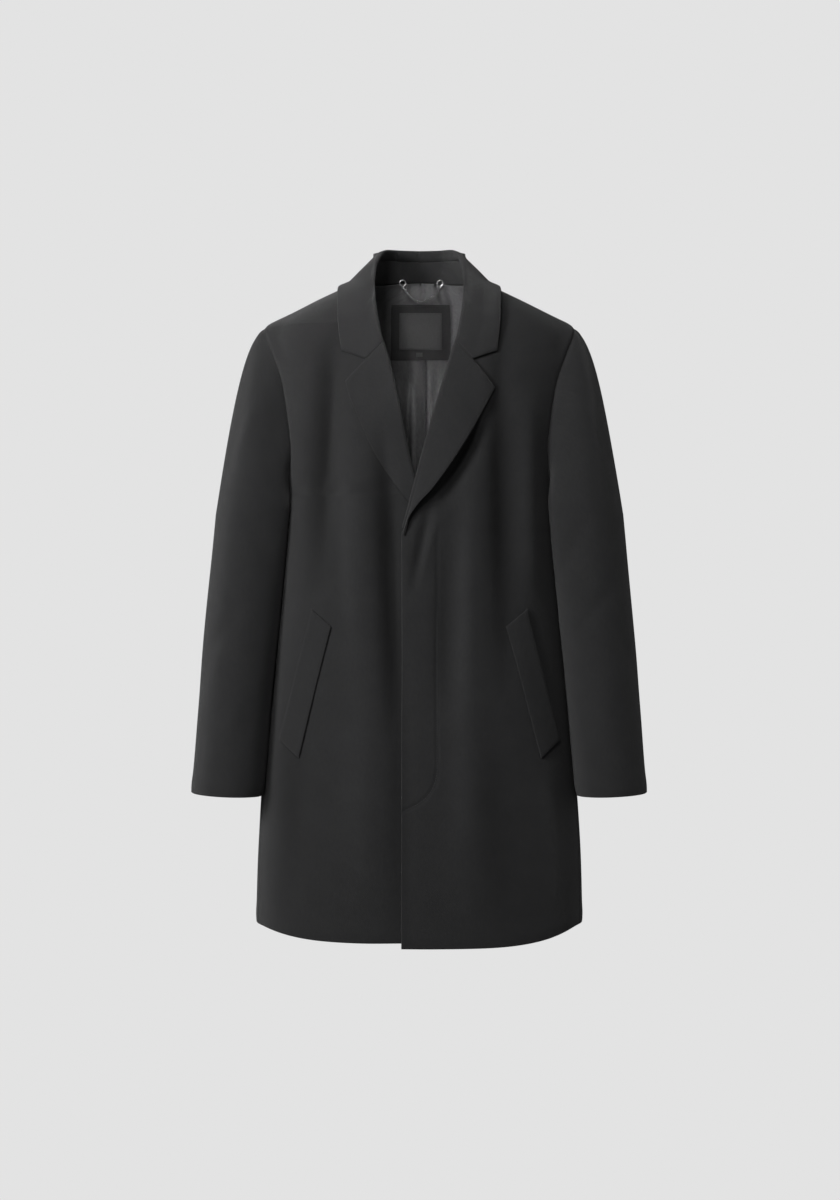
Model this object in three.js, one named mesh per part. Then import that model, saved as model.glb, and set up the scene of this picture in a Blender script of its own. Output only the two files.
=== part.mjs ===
// Single-breasted overcoat in wool twill, holding the shape it has when worn, with nobody in it.
// Millimetres, +Z up. The front faces -Y and the wearer's left is +X.
// The origin lies between the two side neck points, where the wearer's shoulders carry the coat.
// Every cloth piece is a wall: a grid of points on its face, closed by the same grid moved inwards.
import * as THREE from "three";

// ---------------------------------------------------------------- driving dimensions
const thickness = { shell: 2.2, collar: 2.4, facing: 2.0, welt: 2.4, lining: 1.0, label: 0.6 };
const seamGap = 0.3; // between two pieces that are sewn together
const shoulder = { drop: 72 }; // from the side neck points down to the shoulder points
const armpit = -312; // height of the underarm point
const hem = { z: -900, frontDip: 14, leftExtra: 7, fade: 170 }; // the hem dips towards the front
const nape = { rise: 7 }; // the centre back neck above the side neck points
const neckTop = -3; // highest row of the panels, just below the side neck points
const neckTopX = 78; // where the front's neckline starts in that row
const overlap = 24.5; // each front edge runs this far past the centre
const breakZ = -362; // where the lapel starts to roll
const roll = { gorgeX: 46, sag: 2, radius: 4.2, breakRadius: 2.7, rightShift: 10.5 }; // the lapel's roll
const sideSeam = { hem: 76, armpit: 88 }; // degrees round the body from the centre front
const closure = { lap: 3.4, lapelRoom: 4, bulge: 3 }; // how the fronts make way for each other

// Places round the armhole, in degrees from the shoulder point. The panels have a row at each,
// and the sleeves a column, so that the edges of the seam match.
const armholeStops = [0, 22, 44, 62, 80, 97, 113, 129, 146, 163, 180];
const gorgeStop = 44; // the gorge is level with this one
const sleeveSeam = { front: 163, back: 113 }; // the stops where the sleeve's two seams start

// Sections of the body, one a row: height, half width, depths in front of and behind the side
// line, y of that side line, and how square the section is (2 is an ellipse).
const bodySections = [
  { z: -920, half: 228, front: 118, back: 113, mid: 0, square: 2.35 },
  { z: -820, half: 226, front: 119, back: 114, mid: 0, square: 2.35 },
  { z: -728, half: 221, front: 119, back: 112, mid: 0, square: 2.35 },
  { z: -620, half: 212, front: 118, back: 106, mid: 0, square: 2.3 },
  { z: -508, half: 202, front: 116, back: 99, mid: 0, square: 2.3 },
  { z: -420, half: 195.5, front: 118, back: 99, mid: 0, square: 2.3 },
  { z: -312, half: 193, front: 123, back: 108, mid: 0, square: 2.3 },
  { z: -220, half: 202, front: 122, back: 116, mid: 2, square: 2.3 },
  { z: -150, half: 213, front: 112, back: 114, mid: 4, square: 2.25 },
  { z: -105, half: 219, front: 101, back: 109, mid: 5, square: 2.2 },
  { z: -72, half: 216.5, front: 88, back: 103, mid: 6, square: 2.2 },
  { z: -50, half: 177, front: 79, back: 99, mid: 8, square: 2.2 },
  { z: -25, half: 128, front: 68, back: 92, mid: 11, square: 2.2 },
  { z: 0, half: 77, front: 54, back: 84, mid: 15, square: 2.2 },
  { z: 12, half: 60, front: 46, back: 79, mid: 17, square: 2.2 },
];

// The armhole: how far out the seam runs in front and at the back, at each height.
const armholeRows = [
  { z: -312, front: 193, back: 193 },
  { z: -306, front: 190, back: 191.5 },
  { z: -296, front: 184, back: 189.5 },
  { z: -280, front: 178, back: 188 },
  { z: -250, front: 176, back: 189 },
  { z: -200, front: 181, back: 193 },
  { z: -150, front: 190, back: 199 },
  { z: -110, front: 204, back: 208 },
  { z: -90, front: 212, back: 213 },
  { z: -72, front: 216.5, back: 216.5 },
];

// The sleeve below the underarm: its middle, how far it reaches from there to its outer side and
// to its inner one, and half its depth.
const sleeveSections = [
  { z: -334, x: 230, y: -18, half: 53, inner: 72, deep: 70 },
  { z: -417, x: 238, y: -20, half: 53, inner: 63, deep: 66 },
  { z: -508, x: 247, y: -25, half: 52, inner: 57, deep: 62 },
  { z: -592, x: 254, y: -32, half: 51, inner: 54, deep: 58 },
  { z: -697, x: 262, y: -42, half: 50, inner: 51, deep: 54 },
  { z: -719, x: 264, y: -44, half: 50, inner: 48.5, deep: 53 },
];
const cuffZ = -719;
const cuffLift = 2.5; // the outer side of the cuff is this much higher

// Large soft folds of the body: where along x at the top and bottom, the span in height,
// how wide and how high. A negative height is a hollow.
const bodyFolds = [
  { top: -100, foot: -112, high: -60, low: -470, wide: 28, rise: -5 },
  { top: -66, foot: -72, high: -330, low: -860, wide: 30, rise: 4 },
  { top: -34, foot: -30, high: -340, low: -700, wide: 20, rise: -3 },
  { top: 58, foot: 66, high: -330, low: -800, wide: 26, rise: 5 },
  { top: 104, foot: 124, high: -150, low: -560, wide: 24, rise: -5 },
  { top: 144, foot: 164, high: -170, low: -490, wide: 24, rise: 3.5 },
];

// The collar: the crest of its fold and the free edge of its leaf, from the centre back (0)
// round to the gorge (1). At the gorge the leaf's edge is the collar's point.
const collarSections = [
  { at: 0.0, foldX: 0, foldY: 95, foldZ: 52.8, edgeX: 0, edgeY: 111, edgeZ: -14 },
  { at: 0.18, foldX: 31, foldY: 84, foldZ: 52, edgeX: 54, edgeY: 105, edgeZ: -17 },
  { at: 0.34, foldX: 45, foldY: 52, foldZ: 47, edgeX: 90, edgeY: 76, edgeZ: -19 },
  { at: 0.5, foldX: 53, foldY: 14, foldZ: 36.5, edgeX: 108, edgeY: 22, edgeZ: -15 },
  { at: 0.56, foldX: 60, foldY: -19, foldZ: 15, edgeX: 110, edgeY: -6, edgeZ: -20 },
  { at: 0.62, foldX: 61, foldY: -44, foldZ: -12, edgeX: 110, edgeY: -36, edgeZ: -38 },
  { at: 0.7, foldX: 60, foldY: -60, foldZ: -32, edgeX: 110, edgeY: -56, edgeZ: -59 },
  { at: 0.8, foldX: 58, foldY: -76, foldZ: -54, edgeX: 109, edgeY: -70, edgeZ: -79 },
  { at: 0.9, foldX: 52, foldY: -89, foldZ: -79, edgeX: 108, edgeY: -80, edgeZ: -97 },
  { at: 1.0, foldX: 46, foldY: -100, foldZ: -105, edgeX: 107, edgeY: -89, edgeZ: -113 },
];
const foldRadius = 4.6; // of the collar's crest, on its outer face
const standSeam = 16.5; // from the crest down to the seam between stand and leaf
const leafClearance = 4.8; // from the coat to the outer face of the leaf

// Seen from the front: the corner of the notch, the collar's point, and the lapel's free edge
// from the break (0) up to its point (1). Each lapel stands off the chest by its own amount.
const notch = { x: 71.5, z: -127 };
const collarPoint = { x: 107.5, z: -112 };
const leftLapel = [
  { at: 0, x: -21, z: -366 },
  { at: 0.1, x: -16.5, z: -347 },
  { at: 0.2, x: -2, z: -324 },
  { at: 0.31, x: 16.5, z: -304.5 },
  { at: 0.62, x: 62.5, z: -237.5 },
  { at: 0.8, x: 81.5, z: -204.5 },
  { at: 1, x: 103.5, z: -165 },
];
const rightLapel = [
  { at: 0, x: -20, z: -364 },
  { at: 0.12, x: 0, z: -337 },
  { at: 0.23, x: 19.6, z: -314.8 },
  { at: 0.4, x: 42.9, z: -282.6 },
  { at: 0.59, x: 64.8, z: -245.4 },
  { at: 0.8, x: 83, z: -203 },
  { at: 0.9, x: 92.5, z: -181 },
  { at: 1, x: 99.5, z: -157 },
];
const lapelProud = { left: 9, right: 1 };

// The welt pockets: the two upper corners, and how far down and out the lower ones lie.
const welt = { innerX: 118, innerZ: -488, outerX: 145, outerZ: -464, outX: 46, down: 179 };

// Behind the neck: the cloth patch, the woven label on it, its size tab and the hanger chain.
const patch = { x: 2, halfWidth: 44, top: -24.5, bottom: -103 };
const label = { x: 2, halfWidth: 31.5, top: -35, bottom: -88 };
const sizeTab = { x: 0, halfWidth: 4.8, top: -91.5, bottom: -98 };
const chain = { x: 3, halfSpan: 27, hangZ: 4.8, sag: 21, wire: 2.6, ring: 4.3, ringWire: 0.9, inset: 7.8 };
const liningSplit = 10; // the lining's seam and pleat run this far to the wearer's left

// ---------------------------------------------------------------- small maths
const rad = THREE.MathUtils.degToRad;
const mix = THREE.MathUtils.lerp;
const ease = (low, high, value) => THREE.MathUtils.smoothstep(value, low, high);
const range = (count) => Array.from({ length: count }, (_, i) => i);
const spread = (count) => range(count).map((i) => i / (count - 1));

// A table as a function: each column is interpolated without overshoot, by its key column.
function curveThrough(rows, key) {
  const sorted = [...rows].sort((a, b) => a[key] - b[key]);
  const columns = Object.keys(sorted[0]).filter((name) => name !== key);
  const keys = sorted.map((row) => row[key]);
  const slopes = {};
  for (const name of columns) {
    const secant = range(keys.length - 1).map(
      (i) => (sorted[i + 1][name] - sorted[i][name]) / (keys[i + 1] - keys[i]),
    );
    slopes[name] = keys.map((_, i) => {
      if (i === 0) return secant[0];
      if (i === keys.length - 1) return secant[i - 1];
      const [before, after] = [secant[i - 1], secant[i]];
      return before * after <= 0 ? 0 : (2 * before * after) / (before + after);
    });
  }
  return (value) => {
    const at = Math.min(Math.max(value, keys[0]), keys[keys.length - 1]);
    let i = 0;
    while (i < keys.length - 2 && at > keys[i + 1]) i += 1;
    const step = keys[i + 1] - keys[i];
    const t = (at - keys[i]) / step;
    const result = {};
    for (const name of columns) {
      const [a, b] = [sorted[i][name], sorted[i + 1][name]];
      const [sa, sb] = [slopes[name][i] * step, slopes[name][i + 1] * step];
      result[name] =
        a * (1 + 2 * t) * (1 - t) ** 2 + sa * t * (1 - t) ** 2 +
        b * t * t * (3 - 2 * t) + sb * t * t * (t - 1);
    }
    return result;
  };
}

// ---------------------------------------------------------------- the body's form
const bodyAt = curveThrough(bodySections, "z");
const armholeAt = curveThrough(armholeRows, "z");
const sleeveAt = curveThrough(sleeveSections, "z");
const collarAt = curveThrough(collarSections, "at");

// A point of the body's section at height z. The angle is 0 at the centre front, 90 degrees at
// the wearer's left side and 180 at the centre back.
function ring(angle, z) {
  const s = bodyAt(z);
  const across = Math.sin(angle);
  const along = Math.cos(angle);
  const power = 2 / s.square;
  const depth = along > 0 ? -s.front : s.back;
  return new THREE.Vector3(
    Math.sign(across) * s.half * Math.abs(across) ** power,
    s.mid + depth * Math.abs(along) ** power,
    z,
  );
}

// The angle at which the section at height z reaches x, in front or at the back.
function angleAt(x, z, atBack = false) {
  const s = bodyAt(z);
  const share = Math.min(Math.abs(x) / s.half, 1) ** (s.square / 2);
  const angle = Math.sign(x) * Math.asin(share);
  return atBack ? Math.PI - angle : angle;
}

function outward(angle, z) {
  const step = 0.02;
  const round = ring(angle + step, z).sub(ring(angle - step, z));
  const rise = ring(angle, z + 1).sub(ring(angle, z - 1));
  return round.cross(rise).normalize();
}

function foldHeight(x, z) {
  let height = 0;
  for (const fold of bodyFolds) {
    const t = (fold.high - z) / (fold.high - fold.low);
    if (t <= 0 || t >= 1) continue;
    const aside = (x - mix(fold.top, fold.foot, t)) / fold.wide;
    height += fold.rise * Math.exp(-aside * aside) * Math.sin(Math.PI * t);
  }
  return height;
}

// A point on the coat's face, moved out by lift, with the direction in which it was moved as
// its normal. Folds are in the front half only.
function onBody(angle, z, lift = 0) {
  const p = ring(angle, z);
  const fold = foldHeight(p.x, z) * ease(0.1, 0.4, Math.cos(angle));
  p.normal = outward(angle, z);
  return p.addScaledVector(p.normal, fold + lift);
}

// The right front lies under the left one, and further in where its lapel is also between
// them. There the left front rises a little.
function setIn(side, x, z) {
  const crossing = ease(-430, -372, z) * (1 - ease(-280, -210, z));
  if (side > 0) return -closure.bulge * crossing * (1 - ease(12, 70, x));
  const lapped = closure.lap * (1 - ease(-290, -210, z)) + closure.lapelRoom * crossing;
  return lapped * (1 - ease(28, 78, x));
}

// A point on one front: x runs from the centre front towards that front's own side.
function onFront(side, x, z, lift = 0) {
  return onBody(angleAt(side * x, z), z, lift - setIn(side, x, z));
}

// How far a point lies outside the body's form, and the direction straight away from it.
function bodyGap(p) {
  const level = ({ x, y, z }) => {
    const s = bodyAt(z);
    const depth = y < s.mid ? s.front : s.back;
    const sum = Math.abs(x / s.half) ** s.square + Math.abs((y - s.mid) / depth) ** s.square;
    return sum ** (1 / s.square) - 1;
  };
  const slope = (x, y, z) =>
    level(p.clone().add(new THREE.Vector3(x, y, z))) - level(p.clone().sub(new THREE.Vector3(x, y, z)));
  const away = new THREE.Vector3(slope(0.5, 0, 0), slope(0, 0.5, 0), slope(0, 0, 0.5));
  const gap = level(p) / away.length();
  return { gap, away: away.normalize() };
}

function pushedClear(p, clearance) {
  for (const _ of range(4)) {
    const { gap, away } = bodyGap(p);
    if (gap < clearance) p.addScaledVector(away, clearance - gap);
  }
  return p;
}

// ---------------------------------------------------------------- the front's edge and neck
const armholeMiddle = (armpit - shoulder.drop) / 2;
const armholeHalf = (-shoulder.drop - armpit) / 2;
const armholeZ = (angle) => armholeMiddle + armholeHalf * Math.cos(angle);
const gorgeZ = armholeZ(rad(gorgeStop));

// The right lapel rolls further out than the left one, just above where the left one covers it.
function rollX(side, z) {
  const t = (z - breakZ) / (gorgeZ - breakZ);
  const shift = side > 0 ? 0 : roll.rightShift * ease(0, 0.25, t) * (1 - ease(0.3, 0.95, t));
  return mix(-overlap, roll.gorgeX, t) - roll.sag * Math.sin(Math.PI * t) + shift;
}

function rollRadius(z) {
  return mix(roll.breakRadius, roll.radius, ease(breakZ, breakZ + 50, z));
}

function neckX(z) {
  const t = (z - gorgeZ) / (neckTop - gorgeZ);
  return mix(roll.gorgeX + roll.radius + seamGap, neckTopX, Math.max(t, 0) ** 0.8);
}

// The x of the front's inner edge at height z: front edge, roll, then neckline.
function innerX(side, z) {
  if (z >= gorgeZ) return neckX(z);
  const rolled = rollX(side, z) + rollRadius(z) + seamGap;
  return z <= breakZ ? -overlap : mix(-overlap, rolled, ease(breakZ - 5, breakZ + 12, z));
}

function outerAngle(z, atBack) {
  const turn = (angle) => (atBack ? Math.PI - angle : angle);
  if (z >= -shoulder.drop) return Math.PI / 2;
  if (z > armpit) return angleAt(armholeAt(z)[atBack ? "back" : "front"], z, atBack);
  const seam = mix(rad(sideSeam.hem), rad(sideSeam.armpit), ease(hem.z, armpit, z));
  return atBack ? turn(Math.PI - seam) : seam;
}

// ---------------------------------------------------------------- walls from grids
function moved(point, offset) {
  const p = point.clone().add(offset);
  p.normal = point.normal;
  return p;
}

// Moves the grid's rim in by half the seam gap, so that neighbours stay apart.
function trimmed(grid, inset = seamGap / 2) {
  const pull = (point, towards) => {
    const way = towards.clone().sub(point).normalize();
    return moved(point, way.multiplyScalar(inset));
  };
  const rows = grid.map((row) => [...row]);
  const last = rows[0].length - 1;
  for (const row of rows) {
    [row[0], row[last]] = [pull(row[0], row[1]), pull(row[last], row[last - 1])];
  }
  const end = rows.length - 1;
  const [second, beforeLast] = [[...rows[1]], [...rows[end - 1]]];
  rows[0] = rows[0].map((p, i) => pull(p, second[i]));
  rows[end] = rows[end].map((p, i) => pull(p, beforeLast[i]));
  return rows;
}

// Turns the normal at a piece's edge so that its wall doesn't reach into the piece it is sewn
// to. That piece has the edgeNormal, the seam runs along, and the cloth leaves it towards.
function clearOfEdge(normal, edgeNormal, along, towards) {
  const leaving = edgeNormal.clone().cross(along).normalize();
  if (leaving.dot(towards) < 0) leaving.negate();
  return normal.clone().addScaledVector(leaving, -Math.max(normal.dot(leaving), 0)).normalize();
}

const reversed = (grid) => grid.map((row) => [...row].reverse());

// The mirror image across the centre, with its columns still running the same way round.
function mirrored(grid) {
  const flip = (p) => {
    const q = new THREE.Vector3(-p.x, p.y, p.z);
    if (p.normal) q.normal = new THREE.Vector3(-p.normal.x, p.normal.y, p.normal.z);
    return q;
  };
  return reversed(grid.map((row) => row.map(flip)));
}

function gridNormal(grid, r, c) {
  const at = (row, column) =>
    grid[Math.min(Math.max(row, 0), grid.length - 1)][Math.min(Math.max(column, 0), grid[0].length - 1)];
  const across = at(r, c + 1).clone().sub(at(r, c - 1));
  return across.cross(at(r + 1, c).clone().sub(at(r - 1, c))).normalize();
}

// Closes a grid into a wall. Seen from the face, columns run to the right and rows run up.
function wall(grid, depth) {
  const [rows, columns] = [grid.length, grid[0].length];
  const positions = grid.flat().flatMap((p) => p.toArray());
  grid.forEach((row, r) =>
    row.forEach((p, c) => {
      const normal = p.normal ?? gridNormal(grid, r, c);
      positions.push(...p.clone().addScaledVector(normal, -depth).toArray());
    }),
  );
  const face = (r, c) => r * columns + c;
  const back = (r, c) => rows * columns + face(r, c);
  const index = [];
  const quad = (a, b, c, d) => index.push(a, b, c, a, c, d);
  const [top, right] = [rows - 1, columns - 1];
  for (const r of range(top))
    for (const c of range(right)) {
      quad(face(r, c), face(r, c + 1), face(r + 1, c + 1), face(r + 1, c));
      quad(back(r, c), back(r + 1, c), back(r + 1, c + 1), back(r, c + 1));
    }
  for (const r of range(top)) {
    quad(face(r + 1, 0), back(r + 1, 0), back(r, 0), face(r, 0));
    quad(face(r, right), back(r, right), back(r + 1, right), face(r + 1, right));
  }
  for (const c of range(right)) {
    quad(face(0, c), back(0, c), back(0, c + 1), face(0, c + 1));
    quad(face(top, c + 1), back(top, c + 1), back(top, c), face(top, c));
  }
  const geometry = new THREE.BufferGeometry();
  geometry.setAttribute("position", new THREE.Float32BufferAttribute(positions, 3));
  geometry.setIndex(index);
  geometry.computeVertexNormals();
  return geometry;
}

// ---------------------------------------------------------------- fronts and backs
const hemToArmpit = spread(8).map((t) => mix(hem.z, armpit, t));
const armholeZs = armholeStops.map((stop) => armholeZ(rad(stop)));
const neckZs = [-59, -45, -31, -17, neckTop];
const panelRows = [...hemToArmpit, ...[...armholeZs].reverse().slice(1), ...neckZs];

// The hem dips towards the centre front, and the rows just above it follow.
function lowered(angle, z, extra = 0) {
  const dip = (hem.frontDip + extra) * ease(0.25, 1, Math.cos(angle));
  return z - dip * Math.max(0, 1 - (z - hem.z) / hem.fade);
}

function frontPanel(side, columns) {
  const extra = side > 0 ? hem.leftExtra : 0;
  const grid = panelRows.map((z) => {
    const first = angleAt(innerX(side, z), z);
    const last = outerAngle(z, false);
    return spread(columns).map((t) => {
      const angle = mix(first, last, t);
      const away = Math.sign(angle) * Math.abs(ring(angle, z).x);
      return onBody(side * angle, lowered(angle, z, extra), -setIn(side, away, z));
    });
  });
  return side > 0 ? grid : reversed(grid);
}

// The back rises to the nape in its top rows.
function napeRise(angle, z) {
  const share = Math.abs(angle) / (Math.PI / 2) - 1;
  return (nape.rise - neckTop) * ease(0, 1, share) * ease(-31, neckTop, z);
}

function backPanel(columns) {
  return panelRows.map((z) =>
    spread(columns).map((t) => {
      const angle = mix(outerAngle(z, true), Math.PI, t);
      return onBody(angle, lowered(angle, z) + napeRise(angle, z));
    }),
  );
}

// ---------------------------------------------------------------- sleeves
// The armhole seam. The angle is 0 at the shoulder point, 90 in front, 180 under the arm.
function armhole(angle) {
  const z = armholeZ(angle);
  const atBack = Math.sin(angle) < 0;
  return onBody(angleAt(armholeAt(z)[atBack ? "back" : "front"], z, atBack), z);
}

// Keeps a sleeve point clear of the body's side, as cloth that rests against it.
function clearOfBody(point, clearance) {
  const s = bodyAt(point.z);
  const depth = point.y < s.mid ? s.front : s.back;
  const share = Math.min(Math.abs((point.y - s.mid) / depth), 1);
  const bodyX = s.half * (1 - share ** s.square) ** (1 / s.square) + clearance;
  const soft = 4.5;
  const over = bodyX - point.x;
  point.x += 0.5 * (over + Math.sqrt(over * over + soft * soft));
  return point;
}

function sleeveRing(angle, z) {
  const s = sleeveAt(z);
  const out = Math.cos(angle);
  const reach = out > 0 ? s.half : s.inner;
  const p = new THREE.Vector3(s.x + reach * out, s.y - s.deep * Math.sin(angle), z);
  p.z += cuffLift * out * (1 - ease(cuffZ, cuffZ + 80, z));
  return clearOfBody(p, 2);
}

// From the armhole (0) over the sleeve's head to the level of the underarm (1).
function sleeveHead(angle, t) {
  const start = armhole(angle);
  const end = sleeveRing(angle, sleeveSections[0].z);
  const top = Math.max(Math.cos(angle), 0);
  const under = Math.max(-Math.cos(angle), 0);
  start.addScaledVector(start.normal, 1.1 * seamGap * ease(0.8, 1, under));
  const leave = new THREE.Vector3(1, -0.55 * Math.sin(angle), -0.25 - 0.35 * top);
  const reach = (1 + Math.cos(angle)) / 2;
  const first = start.clone().addScaledVector(leave, mix(9, 28, top) * mix(1, 0.35, under));
  const second = end.clone().add(new THREE.Vector3(-0.16, 0, 1).multiplyScalar(mix(8, 165, reach)));
  const p = new THREE.CubicBezierCurve3(start, first, second, end).getPoint(t);
  return t > 0 ? pushedClear(p, Math.min(14 * t, 2)) : p;
}

const sleeveHeights = [cuffZ, -690, -650, -610, -570, -530, -480, -430, -380];
const headRows = [1, 0.75, 0.52, 0.33, 0.17, 0.06, 0];

function sleevePoint(angle, row) {
  const head = row - sleeveHeights.length;
  return head < 0 ? sleeveRing(angle, sleeveHeights[row]) : sleeveHead(angle, headRows[head]);
}

// Its normals come from the neighbouring points, and at the armhole they don't reach back over
// the body's edge.
function sleevePanel(stops) {
  const last = sleeveHeights.length + headRows.length - 1;
  return range(last + 1).map((row) =>
    stops.map((stop) => {
      const angle = rad(stop);
      const p = sleevePoint(angle, row);
      const across = sleevePoint(angle - 0.05, row).sub(sleevePoint(angle + 0.05, row));
      const rise = sleevePoint(angle, Math.min(row + 1, last)).sub(sleevePoint(angle, Math.max(row - 1, 0)));
      p.normal = across.clone().cross(rise).normalize();
      if (row === last) {
        const edge = armhole(angle);
        const leaving = edge.normal.clone().cross(across).normalize().negate();
        p.normal.addScaledVector(leaving, -Math.max(p.normal.dot(leaving), 0)).normalize();
      }
      return p;
    }),
  );
}

const frontStops = armholeStops.filter((stop) => stop <= sleeveSeam.front);
const backStops = armholeStops.filter((stop) => stop > 0 && stop <= sleeveSeam.back);
const upperStops = [...[...frontStops].reverse(), ...backStops.map((stop) => -stop)];
const underStops = [
  ...armholeStops.filter((stop) => stop >= sleeveSeam.back).map((stop) => -stop),
  ...[...armholeStops].reverse().filter((stop) => stop >= sleeveSeam.front && stop < 180).map((stop) => stop - 360),
];

// ---------------------------------------------------------------- lapels
// How the lapel's section turns round the roll: degrees from the coat's inside to its outside.
const hookTurns = [0, 45, 90, 135, 180];
const flatShares = [0.25, 0.5, 0.75, 1];

// One section of the lapel at height z, from the roll to the free edge at tip. It has a corner
// halfway, as strong as bend, which is the notch's corner at the gorge.
function lapelSection(side, z, { tip, bend, proud }) {
  const radius = rollRadius(z);
  const middle = z < gorgeZ ? rollX(side, z) + radius : neckX(z) - seamGap;
  const step = 1;
  const along = onFront(side, middle + step, z).sub(onFront(side, middle - step, z)).normalize();
  const top = 2 * radius - thickness.shell;
  const turn = hookTurns.map((degrees) => {
    const [reach, rise] = [Math.sin(rad(degrees)), -Math.cos(rad(degrees))];
    const p = onFront(side, middle - radius * reach, z, radius - thickness.shell + radius * rise);
    p.normal = p.normal.clone().multiplyScalar(rise).addScaledVector(along, -reach).normalize();
    return p;
  });
  const rest = thickness.facing + 2 * seamGap;
  const flat = flatShares.map((s) => {
    const straight = { x: mix(middle, tip.x, s), z: mix(z, tip.z, s) };
    const cornered =
      s <= 0.5
        ? { x: mix(middle, notch.x, 2 * s), z: mix(z, notch.z, 2 * s) }
        : { x: mix(notch.x, tip.x, 2 * s - 1), z: mix(notch.z, tip.z, 2 * s - 1) };
    const lift = mix(top, rest + proud, s ** 0.8);
    return onFront(side, mix(straight.x, cornered.x, bend), mix(straight.z, cornered.z, bend), lift);
  });
  return [...turn, ...flat];
}

// Rows run from the break up to the gorge, columns from the roll to the free edge.
function lapelPanel(side) {
  const edgeAt = curveThrough(side > 0 ? leftLapel : rightLapel, "at");
  const most = side > 0 ? lapelProud.left : lapelProud.right;
  const grid = spread(10).map((t) => {
    const tip = edgeAt(t);
    const proud = most * Math.sin(Math.PI * Math.min(1.25 * t, 1)) + ease(0, 1, t);
    return lapelSection(side, mix(breakZ + 6, gorgeZ, t), { tip, bend: ease(0.8, 1, t), proud });
  });
  return side > 0 ? grid : reversed(grid);
}

// ---------------------------------------------------------------- collar
const backStopsOfNeck = spread(9).map((t) => t / 2);
const neckline = 0.55; // where the seam turns from the front's top row down its neckline
const frontStopsOfNeck = [...[...neckZs].reverse(), ...armholeZs.filter((z) => z >= gorgeZ)].map((z) =>
  mix(neckline, 1, (z - neckTop) / (gorgeZ - neckTop)),
);
const neckStops = [...backStopsOfNeck, ...frontStopsOfNeck];
const standEnd = 0.8;

function neckZ(at) {
  return mix(neckTop, gorgeZ, Math.max(at - neckline, 0) / (1 - neckline));
}

// The neck seam of one side, from the centre back (0) round to the gorge (1).
function neckSeam(side, at) {
  const turn = mix(Math.PI, Math.PI / 2, Math.min(2 * at, 1));
  if (at <= 0.5) return onBody(side * turn, neckTop + napeRise(turn, neckTop));
  const z = neckZ(at);
  return onBody(side * mix(turn, angleAt(neckX(z), z), Math.min((at - 0.5) / (neckline - 0.5), 1)), z);
}

// The collar's section: the foot of the stand, the crest's circle and the leaf's free edge.
function collarFrame(side, at) {
  const row = collarAt(at);
  const crest = new THREE.Vector3(side * row.foldX, row.foldY, row.foldZ);
  const edge = new THREE.Vector3(side * row.edgeX, row.edgeY, row.edgeZ);
  const foot = neckSeam(side, at);
  const toFoot = foot.clone().sub(crest).normalize();
  const toEdge = edge.clone().sub(crest).normalize();
  const up = toFoot.clone().add(toEdge).normalize().negate();
  const out = toEdge.clone().sub(toFoot).normalize();
  const centre = crest.clone().addScaledVector(up, -foldRadius);
  const narrow = toFoot.angleTo(toEdge) / 2;
  // The crest's outer face, from where it leaves the stand (0) to where it meets the leaf (1).
  const round = (share) => {
    const angle = mix(narrow, Math.PI - narrow, share);
    const normal = out.clone().multiplyScalar(-Math.cos(angle)).addScaledVector(up, Math.sin(angle));
    const p = centre.clone().addScaledVector(normal, foldRadius);
    p.normal = normal;
    return p;
  };
  const leave = round(0);
  const length = foot.distanceTo(leave);
  const start = leave.clone().addScaledVector(toFoot, Math.min(standSeam - foldRadius, 0.5 * length));
  start.normal = leave.normal;
  return { foot, edge, start, round };
}

const crestShares = [0.15, 0.45, 0.75, 1];

// The leaf's section has as many points as the lapel's and ends in the same ones at the gorge.
function leafSection(side, at) {
  const { edge, start, round } = collarFrame(side, at);
  const first = moved(start, round(0).sub(start).normalize().multiplyScalar(2 * seamGap));
  const turn = [first, ...crestShares.map(round)];
  const from = turn[turn.length - 1];
  const flat = flatShares.map((s) => {
    const p = from.clone().lerp(edge, s);
    p.z += 1.5 * Math.sin(Math.PI * s) * (1 - ease(0.5, 0.9, at));
    return p.z < -2 || at > 0.3 ? pushedClear(p, leafClearance) : p;
  });
  const section = [...turn, ...flat];
  const share = ease(0.8, 1, at);
  if (share === 0) return section;
  const z = neckZ(at);
  const tip = at === 1 ? collarPoint : { x: edge.x * side, z: edge.z };
  const onEdge = lapelSection(side, z, { tip, bend: at === 1 ? 1 : 0, proud: 1 });
  return section.map((p, i) => {
    const q = p.clone().lerp(onEdge[i], share);
    if (at === 1) q.normal = onEdge[i].normal;
    else if (p.normal) q.normal = p.normal.clone().lerp(onEdge[i].normal, share).normalize();
    return q;
  });
}

function standSection(side, at) {
  const { foot, start } = collarFrame(side, at);
  const top = start.clone().addScaledVector(start.normal, -thickness.collar);
  top.normal = start.normal.clone().negate();
  const step = 0.01;
  const along = neckSeam(side, Math.min(at + step, 1)).sub(neckSeam(side, Math.max(at - step, 0)));
  const low = foot.clone();
  low.normal = clearOfEdge(top.normal, foot.normal, along, top.clone().sub(foot));
  return [low, foot.clone().lerp(top, 0.5), top];
}

// Rows go up the collar's section, columns round the neck from the wearer's left to right.
function roundNeck(section, stops) {
  const leftToRight = [...[...stops].reverse().map((at) => section(1, at)), ...stops.slice(1).map((at) => section(-1, at))];
  return leftToRight[0].map((_, i) => leftToRight.map((points) => points[i]));
}

// ---------------------------------------------------------------- welts, lining and trims
function weltPanel(side) {
  const grid = spread(9).map((t) => {
    const low = { x: welt.outX * (1 - t), z: -welt.down * (1 - t) };
    return spread(4).map((s) => {
      const x = mix(welt.innerX, welt.outerX, s) + low.x;
      const z = mix(welt.innerZ, welt.outerZ, s) + low.z;
      return onFront(side, x, z, thickness.welt + 4 * seamGap);
    });
  });
  return side > 0 ? grid : reversed(grid);
}

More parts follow.
